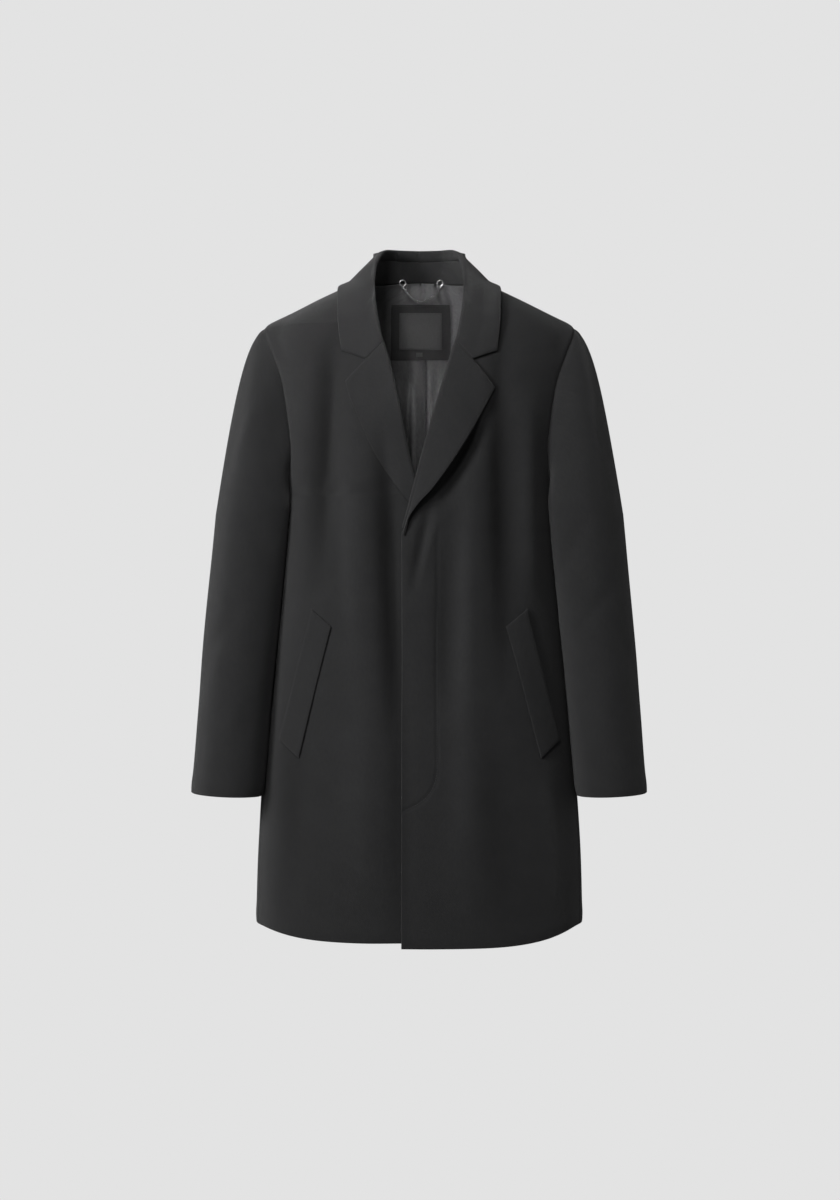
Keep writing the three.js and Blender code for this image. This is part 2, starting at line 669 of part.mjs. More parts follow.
// The back lining inside the shell, in two halves that meet in a pleat beside the centre back.
const liningInset = thickness.shell + 2.6;
const liningShares = [0, 0.05, 0.12, 0.2, 0.3, 0.45, 0.65, 0.83, 1];
const liningZs = [-880, -770, -650, -530, -410, -315, -240, -170, -110, -72, -45, -20, -4];

function backLining(side) {
  const grid = liningZs.map((z) => {
    const seam = angleAt(liningSplit, z, true);
    const start = side > 0 ? seam : 2 * Math.PI - seam;
    const limit = outerAngle(z, true) + rad(2.5);
    return liningShares.map((share) => {
      const angle = mix(start, limit, share);
      const pleat = side > 0 ? 3 * Math.exp(-(((share - 0.05) / 0.04) ** 2)) * (1 - ease(-170, -110, z)) : 0;
      return onBody(side * angle, z + napeRise(Math.min(angle, 2 * Math.PI - angle), z), -liningInset - pleat);
    });
  });
  return side > 0 ? reversed(grid) : grid;
}

// A small flat piece on the lining behind the neck, with its face towards the inside.
function onLining({ x, halfWidth, top, bottom }, lift, columns, rows) {
  return spread(rows).map((t) => {
    const z = mix(bottom, top, t);
    return spread(columns).map((s) => {
      const p = onBody(angleAt(x + mix(-halfWidth, halfWidth, s), z, true), z, -liningInset - thickness.lining - lift);
      p.normal = p.normal.clone().negate();
      return p;
    });
  });
}

const chainY = ring(angleAt(chain.halfSpan + chain.x, chain.hangZ, true), chain.hangZ).y - chain.inset;

function chainGeometry() {
  const reach = chain.halfSpan - 0.5;
  const top = chain.hangZ - chain.ring - chain.ringWire - chain.wire / 2 + seamGap;
  const line = new THREE.CatmullRomCurve3(
    spread(9).map((t) => {
      const u = 2 * t - 1;
      return new THREE.Vector3(chain.x + u * reach, chainY - 1 + u * u, top - chain.sag * (1 - u * u));
    }),
  );
  const section = new THREE.Shape().absarc(0, 0, chain.wire / 2, 0, 2 * Math.PI);
  return new THREE.ExtrudeGeometry(section, { steps: 22, curveSegments: 3, extrudePath: line, bevelEnabled: false });
}

// ---------------------------------------------------------------- materials and assembly
const materials = {
  shell: new THREE.MeshStandardMaterial({ color: 0x2c2c2d, roughness: 0.92, metalness: 0 }),
  collar: new THREE.MeshStandardMaterial({ color: 0x2e2e2f, roughness: 0.92, metalness: 0 }),
  lining: new THREE.MeshStandardMaterial({ color: 0x38383a, roughness: 0.42, metalness: 0 }),
  patch: new THREE.MeshStandardMaterial({ color: 0x1d1d1f, roughness: 0.8, metalness: 0 }),
  label: new THREE.MeshStandardMaterial({ color: 0x3b3b3d, roughness: 0.55, metalness: 0 }),
  metal: new THREE.MeshStandardMaterial({ color: 0x77787a, roughness: 0.3, metalness: 1 }),
};

const coat = new THREE.Group();
coat.name = "coat";

function add(name, geometry, material) {
  const mesh = new THREE.Mesh(geometry, materials[material]);
  mesh.name = name;
  coat.add(mesh);
  return mesh;
}

function addWall(name, grid, depth, material, inset) {
  return add(name, wall(trimmed(grid, inset), depth), material);
}

const back = backPanel(9);
const [upperSleeve, underSleeve] = [sleevePanel(upperStops), sleevePanel(underStops)];
const sides = [
  { name: "left", side: 1, own: (grid) => grid },
  { name: "right", side: -1, own: mirrored },
];
for (const { name, side, own } of sides) {
  addWall("front_" + name, frontPanel(side, 11), thickness.shell, "shell");
  addWall("back_" + name, own(back), thickness.shell, "shell");
  addWall("sleeve_upper_" + name, own(upperSleeve), thickness.shell, "shell");
  addWall("sleeve_under_" + name, own(underSleeve), thickness.shell, "shell", 0.9 * seamGap);
  addWall("lapel_" + name, lapelPanel(side), thickness.facing, "collar");
  addWall("welt_" + name, weltPanel(side), thickness.welt, "shell");
  addWall("lining_back_" + name, backLining(side), thickness.lining, "lining");
}
const standGrid = roundNeck(standSection, neckStops.filter((at) => at < standEnd));
add("collar_stand", wall(trimmed(standGrid), thickness.collar), "collar");
addWall("collar_leaf", reversed(roundNeck(leafSection, neckStops)), thickness.collar, "collar");

const onPatch = 2 * seamGap + thickness.label;
addWall("neck_patch", onLining(patch, onPatch, 7, 5), thickness.label, "patch");
addWall("neck_label", onLining(label, 2 * onPatch, 5, 4), thickness.label, "label");
addWall("size_tab", onLining(sizeTab, 2 * onPatch, 3, 3), thickness.label, "label");

add("hanger_chain", chainGeometry(), "metal");
for (const { name, side } of sides) {
  const hoop = add("chain_ring_" + name, new THREE.TorusGeometry(chain.ring, chain.ringWire, 6, 16), "metal");
  hoop.rotation.x = Math.PI / 2;
  hoop.position.set(chain.x + side * chain.halfSpan, chainY, chain.hangZ);
}

export default coat;
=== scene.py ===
# A single-breasted overcoat in wool twill, filled out with nobody in it.
# Sizes are in millimetres, as a tailor's are, and every mesh is made in metres. Heights count from
# the side neck points. The front faces -Y and the wearer's left is +X.
import math
from types import SimpleNamespace

import bpy
import numpy as np
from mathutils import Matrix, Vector


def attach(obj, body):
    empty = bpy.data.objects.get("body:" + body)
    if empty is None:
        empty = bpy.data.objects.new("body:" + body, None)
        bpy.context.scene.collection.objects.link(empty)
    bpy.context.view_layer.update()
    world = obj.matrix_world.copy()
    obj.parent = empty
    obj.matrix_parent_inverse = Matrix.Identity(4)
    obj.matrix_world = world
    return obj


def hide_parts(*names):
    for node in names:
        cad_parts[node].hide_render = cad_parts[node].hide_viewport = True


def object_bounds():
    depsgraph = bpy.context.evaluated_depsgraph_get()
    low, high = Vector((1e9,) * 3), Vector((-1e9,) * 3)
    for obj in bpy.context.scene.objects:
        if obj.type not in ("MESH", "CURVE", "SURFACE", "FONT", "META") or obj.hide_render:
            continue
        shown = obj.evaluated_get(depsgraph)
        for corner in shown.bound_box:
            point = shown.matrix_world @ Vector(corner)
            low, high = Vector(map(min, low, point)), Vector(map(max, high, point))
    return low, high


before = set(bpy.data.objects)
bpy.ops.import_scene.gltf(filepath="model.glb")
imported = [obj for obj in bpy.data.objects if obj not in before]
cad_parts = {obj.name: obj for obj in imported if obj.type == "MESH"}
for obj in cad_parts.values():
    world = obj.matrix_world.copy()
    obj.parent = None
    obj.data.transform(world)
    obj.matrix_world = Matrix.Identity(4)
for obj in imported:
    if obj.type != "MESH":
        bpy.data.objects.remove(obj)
cadBox = [list(corner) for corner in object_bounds()]
bpy.ops.object.select_all(action="DESELECT")
metre = 0.001  # one millimetre in metres

# camera, lights, floor
cameraView = {"lens": 60, "sensor": 36, "distance": 2.8, "height": -0.452, "aside": 0.001}
studio = {
    "backdrop": 0.768,  # how bright the backdrop and floor look
    "ambient": 0.12,  # how strongly the backdrop lights the coat
    "floorGlow": 0.096,  # and how strongly the floor does
    "floorDrop": 0.62,
    "floorSize": 14,
    "aim": (0, 0, -0.42),
    "lights": {
        "key": {"place": (-1.7, -1.9, 0.4), "size": 0.7, "power": 48.5},
        "front": {"place": (-0.35, -2.0, 0.8), "size": 0.3, "power": 14},
        "neck": {
            "place": (-0.5, -1.5, 0.7),
            "aim": (0, 0.08, -0.12),
            "size": 0.12,
            "power": 0.07,
            "spread": 14,
        },
        "edgeLeft": {"place": (-1.7, 0.85, -0.25), "size": 0.9, "power": 10},
        "edgeRight": {"place": (1.7, 0.85, -0.3), "size": 0.7, "power": 5},
    },
}


def addCamera():
    data = bpy.data.cameras.new("camera")
    data.lens = cameraView["lens"]
    data.sensor_width = cameraView["sensor"]
    camera = bpy.data.objects.new("camera", data)
    camera.location = (cameraView["aside"], -cameraView["distance"], cameraView["height"])
    camera.rotation_euler = (math.pi / 2, 0, 0)
    bpy.context.scene.collection.objects.link(camera)
    bpy.context.scene.camera = camera


def lookRotation(place, aim):
    return (Vector(aim) - Vector(place)).to_track_quat("-Z", "Y").to_euler()


def addLights():
    for name, values in studio["lights"].items():
        data = bpy.data.lights.new(name, "AREA")
        data.size = values["size"]
        data.energy = values["power"]
        data.spread = math.radians(values.get("spread", 180))
        light = bpy.data.objects.new(name, data)
        light.location = values["place"]
        light.rotation_euler = lookRotation(values["place"], values.get("aim", studio["aim"]))
        bpy.context.scene.collection.objects.link(light)


# Makes a backdrop or floor one even grey to the eye and a softer one as a source of light.
def evenGrey(tree, sourceKind, endKind, glow):
    nodes, links = tree.nodes, tree.links
    nodes.clear()
    end = nodes.new(endKind)
    path = nodes.new("ShaderNodeLightPath")
    either = nodes.new("ShaderNodeMixShader")
    links.new(path.outputs["Is Camera Ray"], either.inputs["Fac"])
    for place, strength in ((1, glow), (2, studio["backdrop"])):
        source = nodes.new(sourceKind)
        source.inputs["Color"].default_value = (1, 1, 1, 1)
        source.inputs["Strength"].default_value = strength
        links.new(source.outputs[0], either.inputs[place])
    links.new(either.outputs[0], end.inputs["Surface"])


def addWorld():
    world = bpy.data.worlds.new("studio")
    bpy.context.scene.world = world
    world.use_nodes = True
    evenGrey(world.node_tree, "ShaderNodeBackground", "ShaderNodeOutputWorld", studio["ambient"])


def addFloor():
    bpy.ops.mesh.primitive_plane_add(size=studio["floorSize"])
    floor = bpy.context.object
    floor.name = "floor"
    low = cadBox[0][2] - studio["floorDrop"]
    for corner in floor.data.vertices:
        corner.co.z = low
    made = bpy.data.materials.new("paleFloor")
    made.use_nodes = True
    evenGrey(made.node_tree, "ShaderNodeEmission", "ShaderNodeOutputMaterial", studio["floorGlow"])
    floor.data.materials.append(made)


addCamera()
addLights()
addWorld()
addFloor()
bpy.context.scene.view_settings.view_transform = "Standard"
print("camera, lights and floor")


# small maths on arrays of points
def mix(a, b, t):
    return a + (b - a) * t


def ease(low, high, value):
    t = np.clip((value - low) / (high - low), 0, 1)
    return t * t * (3 - 2 * t)


def point(x, y, z):
    return np.stack(np.broadcast_arrays(x, y, z), axis=-1).astype(float)


def length(vectors):
    return np.linalg.norm(vectors, axis=-1, keepdims=True)


def unit(vectors):
    return vectors / np.maximum(length(vectors), 1e-12)


# A table as a function of its first column. The others are interpolated without overshoot.
def curveThrough(names, *rows):
    keys, *columns = np.array(sorted(rows), float).T
    columns = dict(zip(names.split()[1:], columns))
    slopes = {}
    for name, values in columns.items():
        secant = np.diff(values) / np.diff(keys)
        before, after = secant[:-1], secant[1:]
        turns = before * after <= 0
        inner = np.where(turns, 0, 2 * before * after / np.where(turns, 1, before + after))
        slopes[name] = np.concatenate([secant[:1], inner, secant[-1:]])

    def at(value):
        value = np.clip(value, keys[0], keys[-1])
        i = np.clip(np.searchsorted(keys, value, side="right") - 1, 0, len(keys) - 2)
        step = keys[i + 1] - keys[i]
        t = (value - keys[i]) / step
        result = {}
        for name, values in columns.items():
            a, b = values[i], values[i + 1]
            slopeA, slopeB = slopes[name][i] * step, slopes[name][i + 1] * step
            result[name] = (
                a * (1 + 2 * t) * (1 - t) ** 2
                + slopeA * t * (1 - t) ** 2
                + b * t * t * (3 - 2 * t)
                + slopeB * t * t * (t - 1)
            )
        return SimpleNamespace(**result)

    return at


# A curve that leaves start towards first, and comes to end from second.
def bezier(start, first, second, end, t):
    leaving = start * (1 - t) ** 3 + 3 * first * t * (1 - t) ** 2
    return leaving + 3 * second * t * t * (1 - t) + end * t**3


# the coat's sizes
seamGap = 0.3
thickness = {"shell": 2.2, "welt": 2.4, "facing": 2.0, "collar": 2.4, "lining": 1.0, "label": 0.6}
coat = {
    "shoulderDrop": 72,
    "armpit": -312,
    "napeRise": 7,
    "napeFoot": -31,
    "neckTop": -3,
    "neckTopX": 78,
    "overlap": 24.5,  # each front edge runs this far past the centre
    "breakZ": -362,  # where the lapel starts to roll
    "gorgeStop": 44,  # degrees from the shoulder point, round the armhole
}
hem = {"z": -900, "frontDip": 14, "leftExtra": 7, "fade": 170}
roll = {
    "gorgeX": 46,
    "sag": 2,
    "radius": 4.2,
    "breakRadius": 2.7,
    "rightShift": 10.5,
    "breakEase": 50,  # the radius grows over this height
}
sideSeam = {"hem": 76, "armpit": 88}  # degrees round the body from the centre front
# How the fronts make way for each other: how far in, between which heights, and out to which x.
closure = {
    "lap": 3.4,
    "lapTop": (-290, -210),
    "lapReach": (28, 78),
    "lapelRoom": 4,
    "lapelFoot": (-430, -372),
    "lapelTop": (-280, -210),
    "bulge": 3,
    "bulgeReach": (12, 70),
}

bodyAt = curveThrough(
    "z half front back mid square",
    (-920, 228, 118, 113, 0, 2.35),
    (-820, 226, 119, 114, 0, 2.35),
    (-728, 221, 119, 112, 0, 2.35),
    (-620, 212, 118, 106, 0, 2.3),
    (-508, 202, 116, 99, 0, 2.3),
    (-420, 195.5, 118, 99, 0, 2.3),
    (-312, 193, 123, 108, 0, 2.3),
    (-220, 202, 122, 116, 2, 2.3),
    (-150, 213, 112, 114, 4, 2.25),
    (-105, 219, 101, 109, 5, 2.2),
    (-72, 216.5, 88, 103, 6, 2.2),
    (-50, 177, 79, 99, 8, 2.2),
    (-25, 128, 68, 92, 11, 2.2),
    (0, 77, 54, 84, 15, 2.2),
    (12, 60, 46, 79, 17, 2.2),
)
armholeAt = curveThrough(
    "z front back",
    (-312, 193, 193),
    (-306, 190, 191.5),
    (-296, 184, 189.5),
    (-280, 178, 188),
    (-250, 176, 189),
    (-200, 181, 193),
    (-150, 190, 199),
    (-110, 204, 208),
    (-90, 212, 213),
    (-72, 216.5, 216.5),
)

# Soft folds of the body: x at the top and at the foot, the span in height, how wide and how high.
# A negative rise is a hollow.
# Their heights also darken the wool's colour in the hollows as painted shade and lighten it on the ridges
# as a painted highlight.
frontFolds = [
    (-118, -139, -10, -450, 16, -9),
    (-94, -86, -200, -560, 16, 5),
    (-49, -34, -205, -640, 13, -12),
    (-30, -22, -450, -960, 14, -5),
    (-76, -84, -480, -880, 24, 3),
    (68, 68, -250, -640, 17, 7),
    (36, 30, -370, -620, 15, -4),
    (62, 66, -480, -880, 24, 4),
    (106, 118, -30, -600, 15, -9),
    (146, 150, -150, -480, 15, 6),
    (-158, -180, -540, -915, 22, -3.5),
    (96, 116, -600, -915, 26, -3.5),
    (168, 192, -640, -910, 17, 3),
]
# Beside the left lapel: the hollow under its edge, and the slack where it starts to roll.
breakFolds = [
    (104, 18, -176, -342, 14, -8),
    (14, -10, -316, -446, 7, -6),
    (26, -6, -326, -440, 8, 2.4),
]
backFolds = [
    (-118, -96, -110, -520, 26, -3),
    (112, 88, -90, -470, 27, -3.2),
    (-64, -82, -360, -915, 32, -3),
    (58, 84, -400, -915, 34, -3.4),
    (20, 26, -430, -880, 24, 2),
    (142, 168, -440, -900, 22, 2.4),
    (-140, -156, -500, -910, 21, 2.2),
]


# A point of the body's section at height z. The angle is 0 at the centre front, a quarter turn
# at the wearer's left side and a half turn at the centre back.
def ring(angle, z):
    s = bodyAt(z)
    across, along = np.sin(angle), np.cos(angle)
    power = 2 / s.square
    x = np.sign(across) * s.half * np.abs(across) ** power
    y = s.mid + np.where(along > 0, -s.front, s.back) * np.abs(along) ** power
    return point(x, y, z)


def angleAt(x, z, atBack=False):
    s = bodyAt(z)
    share = np.minimum(np.abs(x) / s.half, 1) ** (s.square / 2)
    angle = np.sign(x) * np.arcsin(share)
    return np.pi - angle if atBack else angle


def outward(angle, z):
    step = 0.02
    across = ring(angle + step, z) - ring(angle - step, z)
    rise = ring(angle, z + 1) - ring(angle, z - 1)
    return unit(np.cross(across, rise))


def foldHeight(folds, x, z):
    height = np.zeros(np.broadcast(x, z).shape)
    for top, foot, high, low, wide, rise in folds:
        t = (high - z) / (high - low)
        aside = (x - mix(top, foot, t)) / wide
        height += rise * np.exp(-(aside**2)) * np.sin(np.pi * np.clip(t, 0, 1))
    return height


def bodyFolds(angle, x, z):
    ahead = np.cos(angle)
    front = foldHeight(frontFolds, x, z) * ease(0.1, 0.4, ahead)
    return front + foldHeight(backFolds, x, z) * ease(0.1, 0.4, -ahead)


# A point on the coat's face, moved out by lift.
def onBody(angle, z, lift=0):
    p = ring(angle, z)
    fold = bodyFolds(angle, p[..., 0], z)
    return p + outward(angle, z) * np.asarray(fold + lift)[..., None]


# The right front lies under the left one, and further in where its lapel is also between them.
def setIn(side, x, z):
    crossing = ease(*closure["lapelFoot"], z) * (1 - ease(*closure["lapelTop"], z))
    if side > 0:
        return -closure["bulge"] * crossing * (1 - ease(*closure["bulgeReach"], x))
    lapped = closure["lap"] * (1 - ease(*closure["lapTop"], z)) + closure["lapelRoom"] * crossing
    return lapped * (1 - ease(*closure["lapReach"], x))


# A point on one front: x runs from the centre front towards that front's own side.
def onFront(side, x, z, lift=0):
    return onBody(angleAt(side * x, z), z, lift - setIn(side, x, z))


def bodyLevel(p):
    s = bodyAt(p[..., 2])
    y = p[..., 1] - s.mid
    depth = np.where(y < 0, s.front, s.back)
    total = np.abs(p[..., 0] / s.half) ** s.square + np.abs(y / depth) ** s.square
    return total ** (1 / s.square) - 1


# Moves the points that lie nearer to the body's form than clearance straight away from it.
def pushedClear(p, clearance):
    for _ in range(4):
        away = np.stack([bodyLevel(p + step) - bodyLevel(p - step) for step in 0.5 * np.eye(3)], -1)
        short = np.maximum(clearance - bodyLevel(p)[..., None] / length(away), 0)
        p = p + unit(away) * short
    return p


armholeMiddle = (coat["armpit"] - coat["shoulderDrop"]) / 2
armholeHalf = (-coat["shoulderDrop"] - coat["armpit"]) / 2


def armholeZ(angle):
    return armholeMiddle + armholeHalf * np.cos(angle)


gorgeZ = armholeZ(math.radians(coat["gorgeStop"]))


# The right lapel rolls further out than the left one, just above where the left one covers it.
def rollX(side, z):
    t = (z - coat["breakZ"]) / (gorgeZ - coat["breakZ"])
    shift = 0 if side > 0 else roll["rightShift"] * ease(0, 0.25, t) * (1 - ease(0.3, 0.95, t))
    return mix(-coat["overlap"], roll["gorgeX"], t) - roll["sag"] * np.sin(np.pi * t) + shift


def rollRadius(z):
    grown = ease(coat["breakZ"], coat["breakZ"] + roll["breakEase"], z)
    return mix(roll["breakRadius"], roll["radius"], grown)


def neckX(z):
    t = np.maximum((z - gorgeZ) / (coat["neckTop"] - gorgeZ), 0)
    return mix(roll["gorgeX"] + roll["radius"] + seamGap, coat["neckTopX"], t**0.8)


# The x of the front's inner edge at height z: front edge, roll, then neckline.
def innerX(side, z):
    rolled = rollX(side, z) + rollRadius(z) + seamGap
    lower = mix(-coat["overlap"], rolled, ease(coat["breakZ"] - 5, coat["breakZ"] + 12, z))
    return np.where(z >= gorgeZ, neckX(z), lower)


def outerAngle(z, atBack):
    column = armholeAt(z).back if atBack else armholeAt(z).front
    seam = np.radians(mix(sideSeam["hem"], sideSeam["armpit"], ease(hem["z"], coat["armpit"], z)))
    hole = angleAt(column, z, atBack)
    angle = np.where(z > coat["armpit"], hole, seam)
    return np.where(z >= -coat["shoulderDrop"], np.pi / 2, angle)


# Positions from 0 to 1 along a strip of this size, closer at its two rims and, where fine is named,
# from one place to another at its own spacing.
def spaced(size, spacing, fine=None, rim=(1.3, 2.8)):
    marks = np.linspace(5, size - 5, max(int(size / spacing), 2))
    if fine:
        low, high, close = fine
        marks = marks[(marks < low) | (marks > high)]
        marks = np.concatenate([marks, np.arange(low, high, close)])
    ends = np.array([0, *rim])
    return np.unique(np.concatenate([ends, marks, size - ends])) / size


def gridNormals(grid):
    return unit(np.cross(np.gradient(grid, axis=1), np.gradient(grid, axis=0)))


# How far each point lies from the grid's first column, and from its last.
def reachAcross(grid):
    steps = length(np.diff(grid, axis=1))[..., 0]
    far = np.concatenate([np.zeros((len(grid), 1)), np.cumsum(steps, axis=1)], axis=1)
    return far, far[:, -1:] - far


def reachUp(grid):
    low, high = reachAcross(grid.swapaxes(0, 1))
    return low.swapaxes(0, 1), high.swapaxes(0, 1)


# What the cloth does beside a rim: how far it is drawn in, how round it is for its thickness, and
# its humps, each with its distance from the rim, its width and its rise.
rims = {
    "seam": {"gap": -0.12, "round": 0.12, "humps": [(0, 1.8, -0.55), (5, 4, 0.25)]},
    "armhole": {"gap": -0.03, "round": 0.08, "humps": [(0, 2.6, -0.5)]},
    "eased": {"gap": -0.9, "round": 0.08, "humps": [(8, 6, 0.6)]},
    "flush": {"gap": -0.03, "round": 0.06, "humps": []},
    "turned": {"gap": seamGap / 2, "round": 0.4, "humps": [(0, 2, -0.2), (5, 4, 0.3)]},
    "hem": {"gap": 0, "round": 0.4, "humps": [(0, 4, -0.4), (14, 10, 0.5)]},
    "sewnDown": {"gap": 0, "round": 0.2, "humps": [(0, 2.2, -0.5)]},
    "plain": {"gap": seamGap / 2, "round": 0.12, "humps": []},
}


def withRims(grid, kinds):
    rise = np.zeros(grid.shape[:2])
    for kind, away in zip(kinds, (*reachAcross(grid), *reachUp(grid))):
        for at, wide, high in rims[kind]["humps"]:
            rise += high * np.exp(-(((away - at) / wide) ** 2))
    return grid + gridNormals(grid) * rise[..., None]


# Slow, shallow unevenness of soft cloth, in waves that never line up.
def softened(grid, amount, phase=0.0):
    x, y, z = np.moveaxis(grid, -1, 0)
    waves = (
        np.sin(x / 23 + z / 61 + phase)
        + np.sin(y / 29 - z / 37 + 2.1 * phase)
        + np.sin((x + y) / 17 + z / 83 + 1.7 * phase)
        + 0.6 * np.sin(x / 11 - y / 13 + z / 27 + 0.9 * phase)
    )
    return grid + gridNormals(grid) * (amount * waves / 2.6)[..., None]


# Draws the four rims in: left, right, bottom and top.
def pulledIn(grid, amounts):
    left, right, bottom, top = amounts
    made = grid.copy()
    made[:, 0] += left * unit(grid[:, 1] - grid[:, 0])
    made[:, -1] += right * unit(grid[:, -2] - grid[:, -1])
    rows = made.copy()
    made[0] += bottom * unit(rows[1] - rows[0])
    made[-1] += top * unit(rows[-2] - rows[-1])
    return made


# Closes a sheet of points into a wall of cloth with rounded rims, of the kinds named for its left,
# right, bottom and top. Gives its points and faces, and the sheet's points that lie on its border.
def closedWall(grid, depth, kinds):
    rows, columns = grid.shape[:2]
    inset = [rims[kind]["round"] * depth for kind in kinds]
    normals = gridNormals(grid)
    face, back = pulledIn(grid, inset), pulledIn(grid - normals * depth, inset)
    middle = (grid - normals * depth / 2).reshape(-1, 3)
    number = np.arange(rows * columns).reshape(rows, columns)
    border = np.concatenate([number[0], number[1:, -1], number[-1, -2::-1], number[-2:0:-1, 0]])
    points = np.concatenate([face.reshape(-1, 3), back.reshape(-1, 3), middle[border]])
    a, b = number[:-1, :-1].ravel(), number[:-1, 1:].ravel()
    c, d = number[1:, 1:].ravel(), number[1:, :-1].ravel()
    outer = 2 * number.size + np.arange(len(border))
    nextBorder, nextOuter = np.roll(border, -1), np.roll(outer, -1)
    quads = [
        (a, b, c, d),
        (a + number.size, d + number.size, c + number.size, b + number.size),
        (border, outer, nextOuter, nextBorder),
        (outer, border + number.size, nextBorder + number.size, nextOuter),
    ]
    return points, np.concatenate([np.stack(quad, 1) for quad in quads]), border


def newMesh(name, points, quads, material):
    mesh = bpy.data.meshes.new(name)
    mesh.vertices.add(len(points))
    mesh.vertices.foreach_set("co", (points * metre).ravel())
    mesh.loops.add(quads.size)
    mesh.loops.foreach_set("vertex_index", quads.ravel().astype(np.int32))
    mesh.polygons.add(len(quads))
    mesh.polygons.foreach_set("loop_start", np.arange(0, quads.size, 4, dtype=np.int32))
    mesh.update(calc_edges=True)
    mesh.shade_smooth()
    mesh.materials.append(material)
    return mesh


def inScene(name, mesh):
    made = bpy.data.objects.new(name, mesh)
    bpy.context.scene.collection.objects.link(made)
    return made


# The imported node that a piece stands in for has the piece's name, written with underscores.
def nodeName(name):
    return "".join("_" + letter.lower() if letter.isupper() else letter for letter in name)


def onCoat(piece, standsIn=True):
    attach(piece, "root")
    if standsIn:
        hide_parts(nodeName(piece.name))


# One cut piece from its sheet of points. Seen from the face, columns run to the right and rows run
# up, or flip turns the columns round. The UV map is in metres along the weave, turned by degrees.
def clothPiece(name, grid, cloth, kinds, flip=False, turn=0, folds=None):
    depth, material, slot = cloths[cloth]
    if folds is None:
        folds = np.zeros(grid.shape[:2])
    if flip:
        grid, folds = grid[:, ::-1], folds[:, ::-1]
        kinds = (kinds[1], kinds[0], *kinds[2:])
    grid = withRims(pulledIn(grid, [rims[kind]["gap"] for kind in kinds]), kinds)
    points, quads, border = closedWall(grid, depth, kinds)
    mesh = newMesh(name, points, quads, material)
    flat = np.stack([reachAcross(grid)[0], reachUp(grid)[0]], -1).reshape(-1, 2)
    flat = np.concatenate([flat, flat, flat[border]]) * metre
    cos, sin = math.cos(math.radians(turn)), math.sin(math.radians(turn))
    flat = flat @ np.array([[cos, sin], [-sin, cos]])
    weave = mesh.uv_layers.new(name="weave")
    weave.data.foreach_set("uv", flat[quads.ravel()].ravel())
    # The height of the folds at each point, which the materials turn into painted shade in the hollows
    # and a painted highlight on the ridges.
    paintedShadeByFold = mesh.attributes.new("foldHeight", "FLOAT", "POINT")
    folds = folds.ravel()
    paintedShadeByFold.data.foreach_set("value", np.concatenate([folds, folds, folds[border]]))
    piece = inScene(name, mesh)
    onCoat(piece)


# materials: small helpers, the node groups, then each finish


# Feeds a socket: another socket is linked to it, and a plain value is set on it.
def feed(tree, target, value):
    if hasattr(value, "is_linked"):
        tree.links.new(value, target)
    else:
        target.default_value = value


def addNode(tree, kind, inputs, **settings):
    node = tree.nodes.new("ShaderNode" + kind)
    for name, value in settings.items():
        setattr(node, name, value)
    for name, value in inputs.items():
        feed(tree, node.inputs[name], value)
    return node


def mathNode(tree, operation, *values):
    return addNode(tree, "Math", dict(enumerate(values)), operation=operation).outputs[0]


def newGroup(name, inputs, outputs):
    group = bpy.data.node_groups.new(name, "ShaderNodeTree")
    addSocket = group.interface.new_socket
    for socketName, (kind, value) in inputs.items():
        made = addSocket(name=socketName, in_out="INPUT", socket_type="NodeSocket" + kind)
        if value is not None:
            made.default_value = value
    for socketName, kind in outputs.items():
        addSocket(name=socketName, in_out="OUTPUT", socket_type="NodeSocket" + kind)
    start, end = group.nodes.new("NodeGroupInput"), group.nodes.new("NodeGroupOutput")
    return group, start.outputs, end.inputs


# Diagonal ribs of a twill, each crossed by its yarns. Vector is in metres, and so is Rib.
def twillGroup():
    inputs = {"Vector": ("Vector", None), "Rib": ("Float", 0.0011), "Steepness": ("Float", 1.9)}
    group, start, end = newGroup("twillWeave", inputs, {"Height": "Float", "Groove": "Float"})
    split = addNode(group, "SeparateXYZ", {0: start["Vector"]})
    u, v = split.outputs[0], split.outputs[1]
    slant = mathNode(group, "SUBTRACT", v, mathNode(group, "MULTIPLY", u, start["Steepness"]))
    turns = mathNode(group, "DIVIDE", slant, start["Rib"])
    ribs = mathNode(group, "SINE", mathNode(group, "MULTIPLY", turns, math.pi))
    yarn = mathNode(group, "DIVIDE", mathNode(group, "ADD", u, v), start["Rib"])
    yarns = mathNode(group, "SINE", mathNode(group, "MULTIPLY", yarn, 2 * math.pi))
    ridge = mathNode(group, "ABSOLUTE", ribs)
    yarnShare = 0.18
    feed(group, end["Height"], mathNode(group, "MULTIPLY_ADD", yarns, yarnShare, ridge))
    feed(group, end["Groove"], mathNode(group, "SUBTRACT", 1, ridge))
    return group


# Short fibres on the cloth's face: Fleck is fine, Cloud is the slow change of the nap's lie.
def napGroup():
    inputs = {"Vector": ("Vector", None), "Fibre": ("Float", 0.0012)}
    outputs = {"Fleck": "Float", "Cloud": "Float", "Height": "Float"}
    group, start, end = newGroup("woolNap", inputs, outputs)
    lean = {"Vector": start["Vector"], "Scale": (1.6, 0.7, 1), "Rotation": (0, 0, 0.5)}
    combed = addNode(group, "Mapping", lean).outputs[0]
    scale = mathNode(group, "DIVIDE", 1, start["Fibre"])

    def noise(vector, factor):
        values = {"Detail": 3, "Vector": vector, "Scale": mathNode(group, "MULTIPLY", scale, factor)}
        return addNode(group, "TexNoise", values).outputs["Fac"]

    fleck, tuft = noise(combed, 0.9), noise(combed, 0.2)
    feed(group, end["Cloud"], noise(start["Vector"], 0.03))
    feed(group, end["Height"], mathNode(group, "MULTIPLY_ADD", tuft, 0.6, fleck))
    feed(group, end["Fleck"], mathNode(group, "MULTIPLY_ADD", tuft, 0.5, fleck))
    return group
